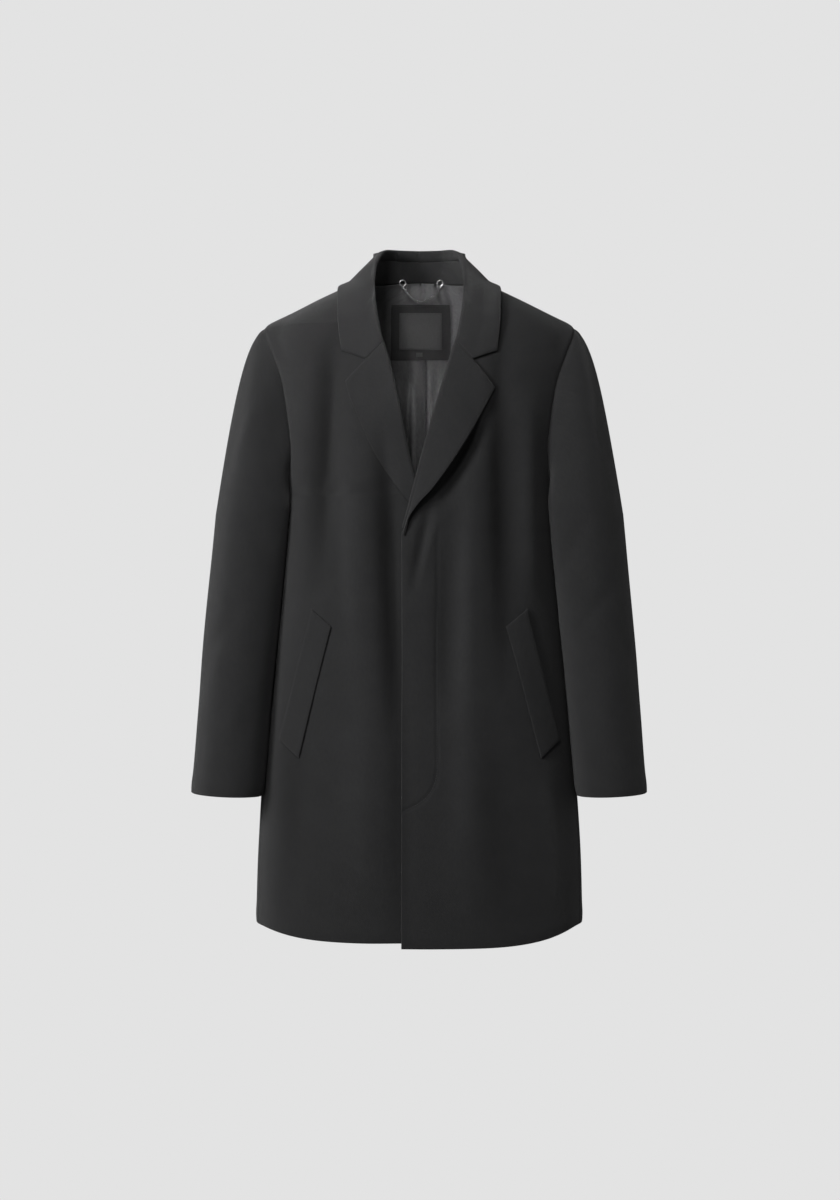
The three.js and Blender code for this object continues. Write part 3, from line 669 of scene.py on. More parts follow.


# Fold is the height of the folds: a colour is darker in their hollows and lighter on their ridges,
# which is painted shade in the hollows and a painted highlight on the ridges.
def paintedFoldShadeGroup():
    inputs = {
        "Colour": ("Color", None),
        "Fold": ("Float", 0),
        "Amount": ("Float", 0.1),
        "Least": ("Float", 0.35),
        "Most": ("Float", 1.3),
    }
    group, start, end = newGroup("foldShade", inputs, {"Colour": "Color"})
    share = mathNode(group, "MULTIPLY_ADD", start["Fold"], start["Amount"], 1)
    share = mathNode(group, "MAXIMUM", share, start["Least"])
    share = mathNode(group, "MINIMUM", share, start["Most"])
    values = {0: start["Colour"], "Scale": share}
    feed(group, end["Colour"], addNode(group, "VectorMath", values, operation="SCALE").outputs[0])
    return group


# The fine grain of a small hard or spun surface.
def grainGroup():
    inputs = {"Vector": ("Vector", None), "Scale": ("Float", 900)}
    group, start, end = newGroup("fineGrain", inputs, {"Grain": "Float"})
    values = {"Vector": start["Vector"], "Scale": start["Scale"], "Detail": 3}
    feed(group, end["Grain"], addNode(group, "TexNoise", values).outputs["Fac"])
    return group


twillWeave = twillGroup()
woolNap = napGroup()
foldShade = paintedFoldShadeGroup()
fineGrain = grainGroup()


def startMaterial(name):
    made = bpy.data.materials.new(name)
    made.use_nodes = True
    return made, made.node_tree, made.node_tree.nodes["Principled BSDF"]


def placed(tree, group, **inputs):
    return addNode(tree, "Group", inputs, node_tree=group).outputs


# Between dark where value is low and light where it is high.
def toned(tree, value, ends, dark, light):
    ramp = {"From Min": ends[0], "From Max": ends[1], "Value": value}
    factor = addNode(tree, "MapRange", ramp, interpolation_type="SMOOTHSTEP").outputs[0]
    colours = {6: (*dark, 1), 7: (*light, 1), 0: factor}
    return addNode(tree, "Mix", colours, data_type="RGBA").outputs[2]


def bumped(tree, shader, height, distance, strength):
    bump = addNode(tree, "Bump", {"Distance": distance, "Strength": strength, "Height": height})
    feed(tree, shader.inputs["Normal"], bump.outputs[0])


# Each cloth's tone is base plus its shares of the flecks, the grooves and the clouds. Hollow is how
# much painted shade darkens it for each millimetre of a hollow, and ridge the most that a painted
# highlight can brighten a ridge.
wool = {
    "dark": (0.0195, 0.0195, 0.0202),
    "light": (0.036, 0.036, 0.0368),
    "ramp": (0, 1.15),
    "base": -0.1,
    "fleck": 0.75,
    "groove": -0.28,
    "cloud": 0.35,
    "rib": 0.0012,
    "steepness": 1.9,
    "fibre": 0.0011,
    "hollow": 0.068,
    "ridge": 1.25,
    "nap": 0.8,
    "bump": (0.00028, 0.75),
    "shader": {
        "Roughness": 0.93,
        "Specular IOR Level": 0.22,
        "Sheen Weight": 0.14,
        "Sheen Roughness": 0.42,
    },
}
satin = {
    "dark": (0.065, 0.065, 0.066),
    "light": (0.115, 0.115, 0.118),
    "ramp": (0.5, 1.5),
    "base": 0,
    "fleck": 1,
    "groove": 0,
    "cloud": 0.6,
    "rib": 0.0004,
    "steepness": 1.9,
    "fibre": 0.004,
    # painted shade in the hollows of the lining's folds and a painted highlight on their ridges
    "hollow": 0.26,
    "ridge": 1.4,
    "nap": 0.5,
    "bump": (0.00006, 0.6),
    "rough": (0.1, 0.25),  # how rough the flecks make it, and how rough it is without them
    "shader": {"Specular IOR Level": 0.6, "Anisotropic": 0.35, "Sheen Weight": 0.05},
}
# A plain weave, for the patch and the labels.
labelCloth = {
    "ramp": (0.2, 1.2),
    "base": 0,
    "fleck": 1,
    "groove": -0.35,
    "cloud": 0,
    "steepness": 1,
    "fibre": 0.0009,
    "nap": 0.4,
    "bump": (0.0001, 0.7),
}
neckCloth = {
    **labelCloth,
    "dark": (0.026, 0.026, 0.0266),
    "light": (0.040, 0.040, 0.041),
    "rib": 0.0006,
    "shader": {"Roughness": 0.75, "Specular IOR Level": 0.35, "Sheen Weight": 0.06},
}
bareLabel = {
    **labelCloth,
    "dark": (0.058, 0.058, 0.0592),
    "light": (0.085, 0.085, 0.0865),
    "rib": 0.00045,
    "shader": {"Roughness": 0.55, "Specular IOR Level": 0.35, "Sheen Weight": 0.06},
}


def clothMaterial(name, cloth):
    made, tree, shader = startMaterial(name)
    weaveMap = addNode(tree, "UVMap", {}, uv_map="weave").outputs[0]
    weave = placed(tree, twillWeave, Vector=weaveMap, Rib=cloth["rib"], Steepness=cloth["steepness"])
    nap = placed(tree, woolNap, Vector=weaveMap, Fibre=cloth["fibre"])
    tone = mathNode(tree, "MULTIPLY_ADD", nap["Fleck"], cloth["fleck"], cloth["base"])
    tone = mathNode(tree, "MULTIPLY_ADD", weave["Groove"], cloth["groove"], tone)
    tone = mathNode(tree, "MULTIPLY_ADD", nap["Cloud"], cloth["cloud"], tone)
    colour = toned(tree, tone, cloth["ramp"], cloth["dark"], cloth["light"])
    # Painted shade in the hollows of the folds and a painted highlight on their ridges, from foldHeight.
    if "hollow" in cloth:
        fold = addNode(tree, "Attribute", {}, attribute_name="foldHeight").outputs["Fac"]
        values = {"Colour": colour, "Fold": fold, "Amount": cloth["hollow"], "Most": cloth["ridge"]}
        colour = placed(tree, foldShade, **values)["Colour"]
    feed(tree, shader.inputs["Base Color"], colour)
    for setting, value in cloth["shader"].items():
        shader.inputs[setting].default_value = value
    if "rough" in cloth:
        rough = mathNode(tree, "MULTIPLY_ADD", nap["Fleck"], *cloth["rough"])
        feed(tree, shader.inputs["Roughness"], rough)
    height = mathNode(tree, "MULTIPLY_ADD", nap["Height"], cloth["nap"], weave["Height"])
    bumped(tree, shader, height, *cloth["bump"])
    return made


# Steel and sewing thread. The shade and the roughness both follow the grain.
def grainedMaterial(name, colour, roughness, metallic=0):
    made, tree, shader = startMaterial(name)
    place = addNode(tree, "TexCoord", {}).outputs["Object"]
    grain = placed(tree, fineGrain, Vector=place)["Grain"]
    darker = [0.6 * c for c in colour]
    feed(tree, shader.inputs["Base Color"], toned(tree, grain, (0.3, 0.7), darker, colour))
    rough = mathNode(tree, "MULTIPLY_ADD", grain, 0.2, roughness - 0.1)
    feed(tree, shader.inputs["Roughness"], rough)
    shader.inputs["Metallic"].default_value = metallic
    bumped(tree, shader, grain, 0.00005, 0.5)
    return made


materials = SimpleNamespace(
    shell=clothMaterial("woolTwill", wool),
    collar=clothMaterial("woolTwillCollar", wool),
    lining=clothMaterial("liningSatin", satin),
    patch=clothMaterial("patchCloth", neckCloth),
    label=clothMaterial("wovenLabel", bareLabel),
    steel=grainedMaterial("darkSteel", (0.74, 0.74, 0.75), 0.22, 1),
    thread=grainedMaterial("thread", (0.05, 0.05, 0.052), 0.7),
    silkThread=grainedMaterial("silkThread", (0.022, 0.022, 0.023), 0.5),
)
# Each cloth's thickness and material, and the slot that it fills.
cloths = {
    "shell": (thickness["shell"], materials.shell, "shell"),
    "welt": (thickness["welt"], materials.shell, "shell"),
    "facing": (thickness["facing"], materials.collar, "collar"),
    "collar": (thickness["collar"], materials.collar, "collar"),
    "lining": (thickness["lining"], materials.lining, "lining"),
    "patch": (thickness["label"], materials.patch, "patch"),
    "label": (thickness["label"], materials.label, "label"),
}
sides = [("Left", 1), ("Right", -1)]
print("materials")

# fronts and backs
panels = {
    "frontWidth": 232,
    "backWidth": 250,
    "spacing": 5,
    "rowSpacing": 5.5,
    "softness": 0.35,
    "frontRounding": 60,  # how often the turn to the shoulder is smoothed
    "backRounding": 16,
    "roundedFrom": (-150, -110),
    "roundedTo": (-52, -30),
    "keptRim": (2, 26),
}
# The stitched fly of the left front: its line, the groove that it pulls in, and its threads.
fly = {
    "x": 24,
    "top": -366,
    "turn": -676,
    "foot": (-22, -736),
    "cornerPull": 0.62,  # how far the line still runs down past its turn, as a share of the way
    "footPull": (25, 11),  # and from where it comes to its foot
    "fineRows": (-748, -664, 2),
    "fineColumns": (2.8, 60, 1.6),
    "groove": 1.5,
    "wide": 1.6,
    "rise": 0.4,  # how far the cloth inside the line stands proud
    "upperFade": (-372, -345),
    "lowerFade": (-737, -730),
    "pitch": 3.4,
    "long": 2.5,
    "thread": 0.76,
    "threadRise": 0.25,  # from the bottom of the groove
    "threadEnd": -18,  # the x where the stitches stop
}


# Heights of a panel's rows. Where fine is named, the rows lie closer together.
def bodyRows(fine=None):
    tall = coat["armpit"] - hem["z"]
    if fine:
        fine = (fine[0] - hem["z"], fine[1] - hem["z"], fine[2])
    lower = hem["z"] + tall * spaced(tall, panels["rowSpacing"], fine)
    lower = lower[lower < coat["armpit"] - 4]
    underarm = coat["armpit"] + np.array([0, 2.6, 5.8, 9.8, 14.4])
    middle = np.linspace(underarm[-1], -coat["shoulderDrop"], 48)[1:-1]
    top = np.array([-coat["shoulderDrop"] - 1.6, -coat["shoulderDrop"]])
    middle = middle[middle < top[0] - 1.5]
    neck = np.linspace(-coat["shoulderDrop"], coat["neckTop"] - 3, 17)[1:]
    return np.concatenate([lower, underarm, middle, top, neck, [coat["neckTop"] - 1.3, coat["neckTop"]]])


# The hem dips towards the centre front, and the rows just above it follow.
def lowered(angle, z, extra=0):
    dip = (hem["frontDip"] + extra) * ease(0.25, 1, np.cos(angle))
    return z - dip * np.maximum(0, 1 - (z - hem["z"]) / hem["fade"])


# Rounds the turn from the chest to the slope of the shoulder, and leaves the rims where they are.
def roundedShoulder(grid, passes):
    z = grid[..., 2]
    away = np.minimum.reduce([*reachAcross(grid), reachUp(grid)[1]])
    share = ease(*panels["keptRim"], away) * ease(*panels["roundedFrom"], z)
    share = share * (1 - ease(*panels["roundedTo"], z))
    for _ in range(passes):
        around = (np.roll(grid, 1, 0) + np.roll(grid, -1, 0)) / 2
        grid = grid + 0.5 * share[..., None] * (around - grid)
    return grid


def frontGrid(side):
    isLeft = side > 0
    z = bodyRows(fly["fineRows"] if isLeft else None)[:, None]
    t = spaced(panels["frontWidth"], panels["spacing"], fly["fineColumns"] if isLeft else None)[None, :]
    angle = mix(angleAt(innerX(side, z), z), outerAngle(z, False), t)
    away = np.sign(angle) * np.abs(ring(angle, z)[..., 0])
    beside = foldHeight(breakFolds, away, z) if isLeft else 0
    level = lowered(angle, z, hem["leftExtra"] if isLeft else 0)
    grid = onBody(side * angle, level, beside - setIn(side, away, z))
    return roundedShoulder(grid, panels["frontRounding"]), bodyFolds(angle, side * away, z) + beside


# The line of stitches that holds the hidden fly: down, then round to the front edge.
def flyLine():
    count = 400
    corner = np.array([fly["x"], fly["turn"]], float)
    end = np.array(fly["foot"], float)
    straight = np.linspace(fly["top"], fly["turn"], count)
    down = np.stack([np.full(count, float(fly["x"])), straight], 1)
    firstPull = corner + (0, fly["cornerPull"] * (end[1] - corner[1]))
    secondPull = end + fly["footPull"]
    t = np.linspace(0, 1, count // 3)[1:, None]
    return np.concatenate([down, bezier(corner, firstPull, secondPull, end, t)])


def stitched(grid, line):
    flat = grid[..., [0, 2]].reshape(-1, 2)
    x, z = flat.T
    near = (np.abs(x) < 45) & (z < fly["top"] + 16) & (z > fly["foot"][1] - 24)
    away = np.full(len(flat), 99.0)  # far enough for the groove to end
    away[near] = np.sqrt(((flat[near, None] - line[None]) ** 2).sum(-1)).min(1)
    inside = ease(0, 3, np.interp(-z, -line[:, 1], line[:, 0]) - x)
    inside = inside * ease(*fly["lowerFade"], z) * (1 - ease(*fly["upperFade"], z))
    rise = fly["rise"] * inside - fly["groove"] * np.exp(-((away / fly["wide"]) ** 2))
    return grid + gridNormals(grid) * rise.reshape(grid.shape[:2])[..., None]


# The back rises to the nape in its top rows.
def nape(angle, z):
    share = np.abs(angle) / (np.pi / 2) - 1
    high = (coat["napeRise"] - coat["neckTop"]) * ease(0, 1, share)
    return high * ease(coat["napeFoot"], coat["neckTop"], z)


def makePanels():
    kinds = ("turned", "seam", "hem", "armhole")
    for name, side in sides:
        grid, folds = frontGrid(side)
        if side > 0:
            grid = stitched(grid, flyLine())
        grid = softened(grid, panels["softness"])
        clothPiece("front" + name, grid, "shell", kinds, side < 0, folds=folds)
    kinds = ("seam", "seam", "hem", "plain")
    z = bodyRows()[:, None]
    angle = mix(outerAngle(z, True), np.pi, spaced(panels["backWidth"], panels["spacing"])[None, :])
    for name, side in sides:
        grid = onBody(side * angle, lowered(angle, z) + nape(angle, z))
        grid = softened(roundedShoulder(grid, panels["backRounding"]), panels["softness"])
        folds = bodyFolds(angle, side * ring(angle, z)[..., 0], z)
        clothPiece("back" + name, grid, "shell", kinds, side < 0, folds=folds)
    print("fronts and backs")


makePanels()

# sleeves
sleeve = {
    "top": -334,  # where the sleeve's head starts
    "cuff": -719,
    "cuffLift": 2.5,  # the outer side of the cuff is this much higher
    "cuffEase": 80,
    "frontSeam": 163,  # degrees round it from its outer side
    "backSeam": 113,
    "perDegree": 1.02,  # millimetres round it for each degree, for folds and for the sheet
    "sheetPerDegree": 1.05,
    "spacing": 5,
    "rowSpacing": 5.5,
    "clearance": 2,  # from the body's side, and how softly it rests there
    "soft": 4.5,
    "leave": (9, 28),  # how strongly the head leaves the armhole: at the sides and on top
    "underShare": 0.35,
    "arrive": (8, 165),  # how strongly it meets the tube: at the inner and the outer side
    "softness": 0.4,
}
sleeveAt = curveThrough(
    "z x y half inner deep",
    (-334, 230, -18, 53, 72, 70),
    (-417, 238, -20, 53, 63, 66),
    (-508, 247, -25, 52, 57, 62),
    (-592, 254, -32, 51, 54, 58),
    (-697, 262, -42, 50, 51, 54),
    (-719, 264, -44, 50, 48.5, 53),
)
# Soft folds of a sleeve: degrees round it from its outer side, height of the middle, how long and
# wide, how far the fold leans, and how high.
sleeveFolds = [
    (38, -250, 95, 10, 0.10, -1.6),
    (58, -210, 80, 13, 0.18, 1.3),
    (112, -380, 70, 12, -0.5, -2.0),
    (84, -455, 60, 13, -0.9, -1.6),
    (62, -500, 70, 16, 0.7, -1.4),
    (30, -560, 90, 18, 0.25, -1.3),
    (96, -610, 70, 15, 0.4, 1.2),
    (-62, -330, 90, 14, 0.3, -2.0),
    (-80, -440, 70, 15, 0.8, -2.2),
    (-40, -520, 80, 16, -0.5, -1.6),
    (-100, -560, 70, 14, -0.4, 1.4),
    (-150, -400, 80, 16, 0.2, -1.8),
]


def armhole(angle):
    z = armholeZ(angle)
    column = np.where(np.sin(angle) < 0, armholeAt(z).back, armholeAt(z).front)
    forward = angleAt(column, z)
    around = np.where(np.sin(angle) < 0, np.pi - forward, forward)
    return onBody(around, z), outward(around, z)


# Keeps a sleeve point clear of the body's side, as cloth that rests against it.
def clearOfBody(p):
    s = bodyAt(p[..., 2])
    depth = np.where(p[..., 1] < s.mid, s.front, s.back)
    share = np.minimum(np.abs((p[..., 1] - s.mid) / depth), 1)
    bodyX = s.half * (1 - share**s.square) ** (1 / s.square) + sleeve["clearance"]
    over = bodyX - p[..., 0]
    made = p.copy()
    made[..., 0] += 0.5 * (over + np.sqrt(over * over + sleeve["soft"] ** 2))
    return made


def sleeveRing(angle, z):
    s = sleeveAt(z)
    out = np.cos(angle)
    lift = sleeve["cuffLift"] * out * (1 - ease(sleeve["cuff"], sleeve["cuff"] + sleeve["cuffEase"], z))
    reach = np.where(out > 0, s.half, s.inner)
    return clearOfBody(point(s.x + reach * out, s.y - s.deep * np.sin(angle), z + lift))


# From the armhole (0) over the sleeve's head to the level of the underarm (1).
def sleeveHead(angle, t):
    start, normal = armhole(angle)
    end = sleeveRing(angle, np.full(angle.shape, float(sleeve["top"])))
    top = np.maximum(np.cos(angle), 0)
    under = np.maximum(-np.cos(angle), 0)
    start = start + normal * (1.1 * seamGap * ease(0.8, 1, under))[..., None]
    leave = point(np.ones(angle.shape), -0.55 * np.sin(angle), -0.25 - 0.35 * top)  # out and down
    outer = (1 + np.cos(angle)) / 2
    strength = mix(*sleeve["leave"], top) * mix(1, sleeve["underShare"], under)
    first = start + leave * strength[..., None]
    second = end + point(-0.16, 0, 1) * mix(*sleeve["arrive"], outer)[..., None]
    t = t[..., None]
    p = bezier(start, first, second, end, t)
    return np.where(t > 0, pushedClear(p, np.minimum(14 * t, sleeve["clearance"])), p)


def sleeveGrid(fromStop, toStop):
    span = abs(toStop - fromStop)
    angles = np.radians(mix(fromStop, toStop, spaced(span * sleeve["sheetPerDegree"], sleeve["spacing"])))
    tube = sleeve["top"] - sleeve["cuff"]
    z = sleeve["cuff"] + tube * spaced(tube, sleeve["rowSpacing"])
    z = z[z < sleeve["top"] - 2]
    lower = sleeveRing(angles[None, :], z[:, None])
    t = np.concatenate([np.linspace(1, 0.03, 40), [0.012, 0.006, 0]])
    return np.concatenate([lower, sleeveHead(*np.meshgrid(angles, t))]), np.degrees(angles)


def creased(grid, degrees):
    rise = np.zeros(grid.shape[:2])
    for middle, z, long, wide, lean, high in sleeveFolds:
        aside = ((degrees[None, :] - middle + 180) % 360 - 180) * sleeve["perDegree"]
        up = grid[..., 2] - z
        across = (aside - lean * up) / wide
        rise += high * np.exp(-(across**2)) * np.exp(-((up / (0.5 * long)) ** 2))
    return grid + gridNormals(grid) * rise[..., None]


def makeSleeves():
    front, back = sleeve["frontSeam"], sleeve["backSeam"]
    parts = {"Upper": sleeveGrid(front, -back), "Under": sleeveGrid(-back, front - 360)}
    kinds = ("seam", "seam", "hem", "eased")
    for name, side in sides:
        for part, (grid, degrees) in parts.items():
            grid = softened(creased(grid, degrees), sleeve["softness"], 5 + side) * (side, 1, 1)
            clothPiece("sleeve" + part + name, grid, "shell", kinds, side < 0)
    print("sleeves")


makeSleeves()

# lapels
lapel = {
    "notch": (71.5, -127),
    "start": 6,  # above the break
    "long": 275,
    "spacing": 5,
    "proud": {1: 12, -1: 1},  # how far the left one and the right one stand off the front
    "softness": 0.25,
    "grain": 18,  # degrees that its weave is turned
}
# The lapels' free edges, from the break (0) up to the point (1).
lapelEdge = {
    1: curveThrough(
        "at x z",
        (0, -21, -366),
        (0.1, -16.5, -347),
        (0.2, -2, -324),
        (0.31, 16.5, -304.5),
        (0.62, 62.5, -237.5),
        (0.8, 81.5, -204.5),
        (1, 103.5, -165),
    ),
    -1: curveThrough(
        "at x z",
        (0, -20, -364),
        (0.12, 0, -337),
        (0.23, 19.6, -314.8),
        (0.4, 42.9, -282.6),
        (0.59, 64.8, -245.4),
        (0.8, 83, -203),
        (0.9, 92.5, -181),
        (1, 99.5, -157),
    ),
}
hookTurns = np.linspace(0, 180, 12)
flatShares = np.concatenate([np.linspace(0, 0.97, 30)[1:], [0.985, 1]])


# The way from start to end, drawn towards the corner between them by amount.
def cornered(start, corner, end, amount, s):
    bent = np.where(s <= 0.5, mix(start, corner, 2 * s), mix(corner, end, 2 * s - 1))
    return mix(mix(start, end, s), bent, amount)


# One section of the lapel at each height z, from the roll to the free edge at the tip. Bend is how
# strong its corner is halfway, which is the notch's corner at the gorge.
def lapelSections(side, z, tipX, tipZ, bend, proud):
    z, tipX, tipZ, bend, proud = (np.asarray(v, float)[:, None] for v in (z, tipX, tipZ, bend, proud))
    radius = rollRadius(z)
    middle = np.where(z < gorgeZ, rollX(side, z) + radius, neckX(z) - seamGap)
    turn = np.radians(hookTurns)[None, :]
    hookLift = radius - thickness["shell"] - radius * np.cos(turn)
    hook = onFront(side, middle - radius * np.sin(turn), z + 0 * turn, hookLift)
    s = flatShares[None, :]
    top = 2 * radius - thickness["shell"]
    rest = thickness["facing"] + 2 * seamGap
    notchX, notchZ = lapel["notch"]
    x, level = cornered(middle, notchX, tipX, bend, s), cornered(z, notchZ, tipZ, bend, s)
    return np.concatenate([hook, onFront(side, x, level, mix(top, rest + proud, s**0.8))], axis=1)


def lapelGrid(side):
    t = spaced(lapel["long"], lapel["spacing"])
    tip = lapelEdge[side](t)
    proud = lapel["proud"][side] * np.sin(np.pi * np.minimum(1.25 * t, 1)) + ease(0, 1, t)
    z = mix(coat["breakZ"] + lapel["start"], gorgeZ, t)
    return lapelSections(side, z, tip.x, tip.z, ease(0.8, 1, t), proud)


def makeLapels():
    for name, side in sides:
        kinds = ("plain", "turned" if side > 0 else "plain", "turned", "seam")
        grid = softened(lapelGrid(side), lapel["softness"], 8 + side)
        clothPiece("lapel" + name, grid, "facing", kinds, side < 0, lapel["grain"] * side)
    print("lapels")


makeLapels()

# collar
collar = {
    "foldRadius": 4.6,
    "standSeam": 16.5,  # from the crest down to the seam between stand and leaf
    "standEnd": 0.79,  # how far round the neck the stand goes
    "standHeight": 32,
    "standInset": 1.2,  # its foot lies this far inside the neck seam
    "clearance": 4.8,  # from the shell, below this height or ahead of this place
    "restsBelow": (-8, -1),
    "restsFrom": (0.18, 0.32),
    "neckline": 0.55,  # where the seam turns from the front's top row down its neckline
    "bulge": 1.5,
    "meetsLapel": 0.8,  # from here on the leaf's sections turn into the lapel's
    "softness": 0.2,
}
# From the centre back (0) to the gorge (1): the crest, and the leaf's free edge.
collarAt = curveThrough(
    "at foldX foldY foldZ edgeX edgeY edgeZ",
    (0.0, 0, 95, 52.8, 0, 111, -14),
    (0.18, 31, 84, 52, 54, 105, -17),
    (0.34, 45, 52, 47, 90, 76, -19),
    (0.5, 53, 14, 36.5, 108, 22, -15),
    (0.56, 60, -19, 15, 110, -6, -20),
    (0.62, 61, -44, -12, 110, -36, -38),
    (0.7, 60, -60, -32, 110, -56, -59),
    (0.8, 58, -76, -54, 109, -70, -79),
    (0.9, 52, -89, -79, 108, -80, -97),
    (1.0, 46, -100, -105, 107, -89, -113),
)


def neckZ(at):
    line = collar["neckline"]
    return mix(coat["neckTop"], gorgeZ, np.maximum(at - line, 0) / (1 - line))


# The neck seam of one side, from the centre back (0) round to the gorge (1).
def neckSeam(side, at):
    turn = mix(np.pi, np.pi / 2, np.minimum(2 * at, 1))
    behind = onBody(side * turn, coat["neckTop"] + nape(turn, coat["neckTop"]))
    z = neckZ(at)
    share = np.clip((at - 0.5) / (collar["neckline"] - 0.5), 0, 1)
    ahead = onBody(side * mix(turn, angleAt(neckX(z), z), share), z)
    return np.where((at <= 0.5)[..., None], behind, ahead)


# The collar's section: the foot of the stand, the crest's circle and the leaf's free edge.
def collarFrame(side, at):
    row = collarAt(at)
    crest = point(side * row.foldX, row.foldY, row.foldZ)
    edge = point(side * row.edgeX, row.edgeY, row.edgeZ)
    foot = neckSeam(side, at)
    toFoot, toEdge = unit(foot - crest), unit(edge - crest)
    up = -unit(toFoot + toEdge)
    out = unit(toEdge - toFoot)
    centre = crest - up * collar["foldRadius"]
    between = np.arccos(np.clip((toFoot * toEdge).sum(-1, keepdims=True), -1, 1)) / 2

    def turned(share):
        angle = mix(between, np.pi - between, share)
        return centre + (up * np.sin(angle) - out * np.cos(angle)) * collar["foldRadius"]

    leave = turned(0)
    down = np.minimum(collar["standSeam"] - collar["foldRadius"], 0.5 * length(foot - leave))
    facing = -out * np.cos(between) + up * np.sin(between)
    start = leave + toFoot * down
    return SimpleNamespace(edge=edge, foot=foot, start=start, facing=facing, turned=turned)


# The leaf's sections end in the lapel's section at the gorge, where the two are sewn together.
def leafSections(side, at):
    shape = collarFrame(side, at)
    crest = [shape.turned(share) for share in np.linspace(0.1, 1, len(hookTurns) - 1)]
    seam = shape.start + unit(shape.turned(0) - shape.start) * 2 * seamGap
    bulge = collar["bulge"] * (1 - ease(0.5, 0.9, at))
    flat = []
    for s in flatShares:
        p = mix(crest[-1], shape.edge, s) + point(0, 0, bulge * np.sin(np.pi * s))
        rests = 1 - ease(*collar["restsBelow"], p[..., 2])
        rests = np.maximum(rests, ease(*collar["restsFrom"], at))
        flat.append(mix(p, pushedClear(p, collar["clearance"]), rests[..., None]))
    section = np.stack([seam, *crest, *flat], axis=1)
    ahead = at > collar["meetsLapel"]
    if ahead.any():
        later = at[ahead]
        tipX, tipZ = side * shape.edge[ahead, 0], shape.edge[ahead, 2]
        bend = ease(0.86, 1, later)
        onEdge = lapelSections(side, neckZ(later), tipX, tipZ, bend, np.ones(len(later)))
        share = ease(collar["meetsLapel"], 1, later)[:, None, None]
        section[ahead] = mix(section[ahead], onEdge, share)
    return section


def standSections(side, at):
    shape = collarFrame(side, at)
    foot = shape.foot + shape.facing * (thickness["collar"] + collar["standInset"])
    return np.stack([mix(foot, shape.start, s) for s in spaced(collar["standHeight"], 4)], axis=1)


# Rows go up the collar's section, columns round the neck from the wearer's left to right.
def roundNeck(sections, at):
    both = np.concatenate([sections(1, at[::-1]), sections(-1, at[1:])])
    return both.swapaxes(0, 1)


def makeCollar():
    at = np.concatenate([np.linspace(0, 0.97, 66), [0.98, 0.99, 0.9955, 1]])
    leaf = softened(roundNeck(leafSections, at), collar["softness"], 11)
    clothPiece("collarLeaf", leaf, "collar", ("seam", "seam", "flush", "turned"), True)
    stand = roundNeck(standSections, np.linspace(0, collar["standEnd"], 50))
    clothPiece("collarStand", stand, "collar", ("plain", "plain", "flush", "flush"), True)
    print("collar")


makeCollar()

# welt pockets
welt = {
    "inner": (118, -488),  # the upper corners of the left one
    "outer": (145, -464),
    "out": 46,  # how far out and down the lower corners lie
    "down": 179,
    "long": 185,
    "wide": 36,
    "grain": 14,  # degrees that its weave is turned
}


def weltGrid(side):
    t = spaced(welt["long"], 4)[:, None]
    s = spaced(welt["wide"], 3)[None, :]
    x = mix(welt["inner"][0], welt["outer"][0], s) + welt["out"] * (1 - t)
    z = mix(welt["inner"][1], welt["outer"][1], s) - welt["down"] * (1 - t)
    return onFront(side, x, z, thickness["welt"] + 4 * seamGap)


def makeWelts():
    kinds = ("sewnDown", "turned", "sewnDown", "sewnDown")
    for name, side in sides:
        turn = welt["grain"] * side
        clothPiece("welt" + name, weltGrid(side), "welt", kinds, side < 0, turn)
    print("welts")


makeWelts()

# lining and what is sewn on it
lining = {
    "inset": 2.6,  # inside the shell
    "split": 10,  # its seam and pleat run this far to the wearer's left
    "low": -880,
    "tall": 876.9,
    "wide": 235,
    "underSide": 2.5,  # degrees past the side seam
    "collarRoom": 2.2,  # how much nearer to the shell it lies at the neck seam
    "collarFrom": (-16, -5),
    "shoulderRoom": 4,  # how much further in it lies under the shoulders
    "shoulderFrom": (70, 105),
    "shoulderAbove": (-170, -120),
    "patch": {"x": 2, "halfWidth": 44, "top": -24.5, "bottom": -103},
    "label": {"x": 2, "halfWidth": 31.5, "top": -35, "bottom": -88},
    "sizeTab": {"x": 0, "halfWidth": 4.8, "top": -91.5, "bottom": -98},
}
# Folds of the lining, with the same columns as the body's. Their heights also paint shade into the
# satin's colour in the hollows and a highlight on the ridges.
liningFolds = [
    (16, 17, -92, -700, 4.0, 6),
    (8.5, 9, -96, -700, 2.6, -2.2),
    (-8, -7, -96, -520, 4.5, 3.5),
    (-19, -15, -100, -480, 5, -2.2),
    (-32, -26, -104, -480, 7, 3),
    (23, 22, -94, -420, 3.5, -2.2),
    (30, 26, -96, -420, 4, 4),
    (41, 34, -100, -460, 4, 4.5),
    (49, 44, 8, -150, 3.0, -2.2),
    (55, 51, 8, -150, 4.0, 5),
    (63, 66, 14, -220, 4.5, 4.5),
    (-58, -66, 12, -260, 6.0, 4),
    (39, 37, 18, -24, 3.5, 6),
    (29, 28, 18, -24, 3.2, -2.2),
    (-22, -24, 18, -24, 4.0, 5),
    (3, 3, 16, -24, 1.6, -2.2),
    (96, 88, -60, -560, 9, 3),
    (-104, -92, -40, -620, 10, 3),
]


# A point on the lining's face, moved further in by lift.
def onInside(angle, z, lift):
    depth = thickness["shell"] + lining["inset"] + thickness["lining"]
    return onBody(angle, z, -depth - lift)


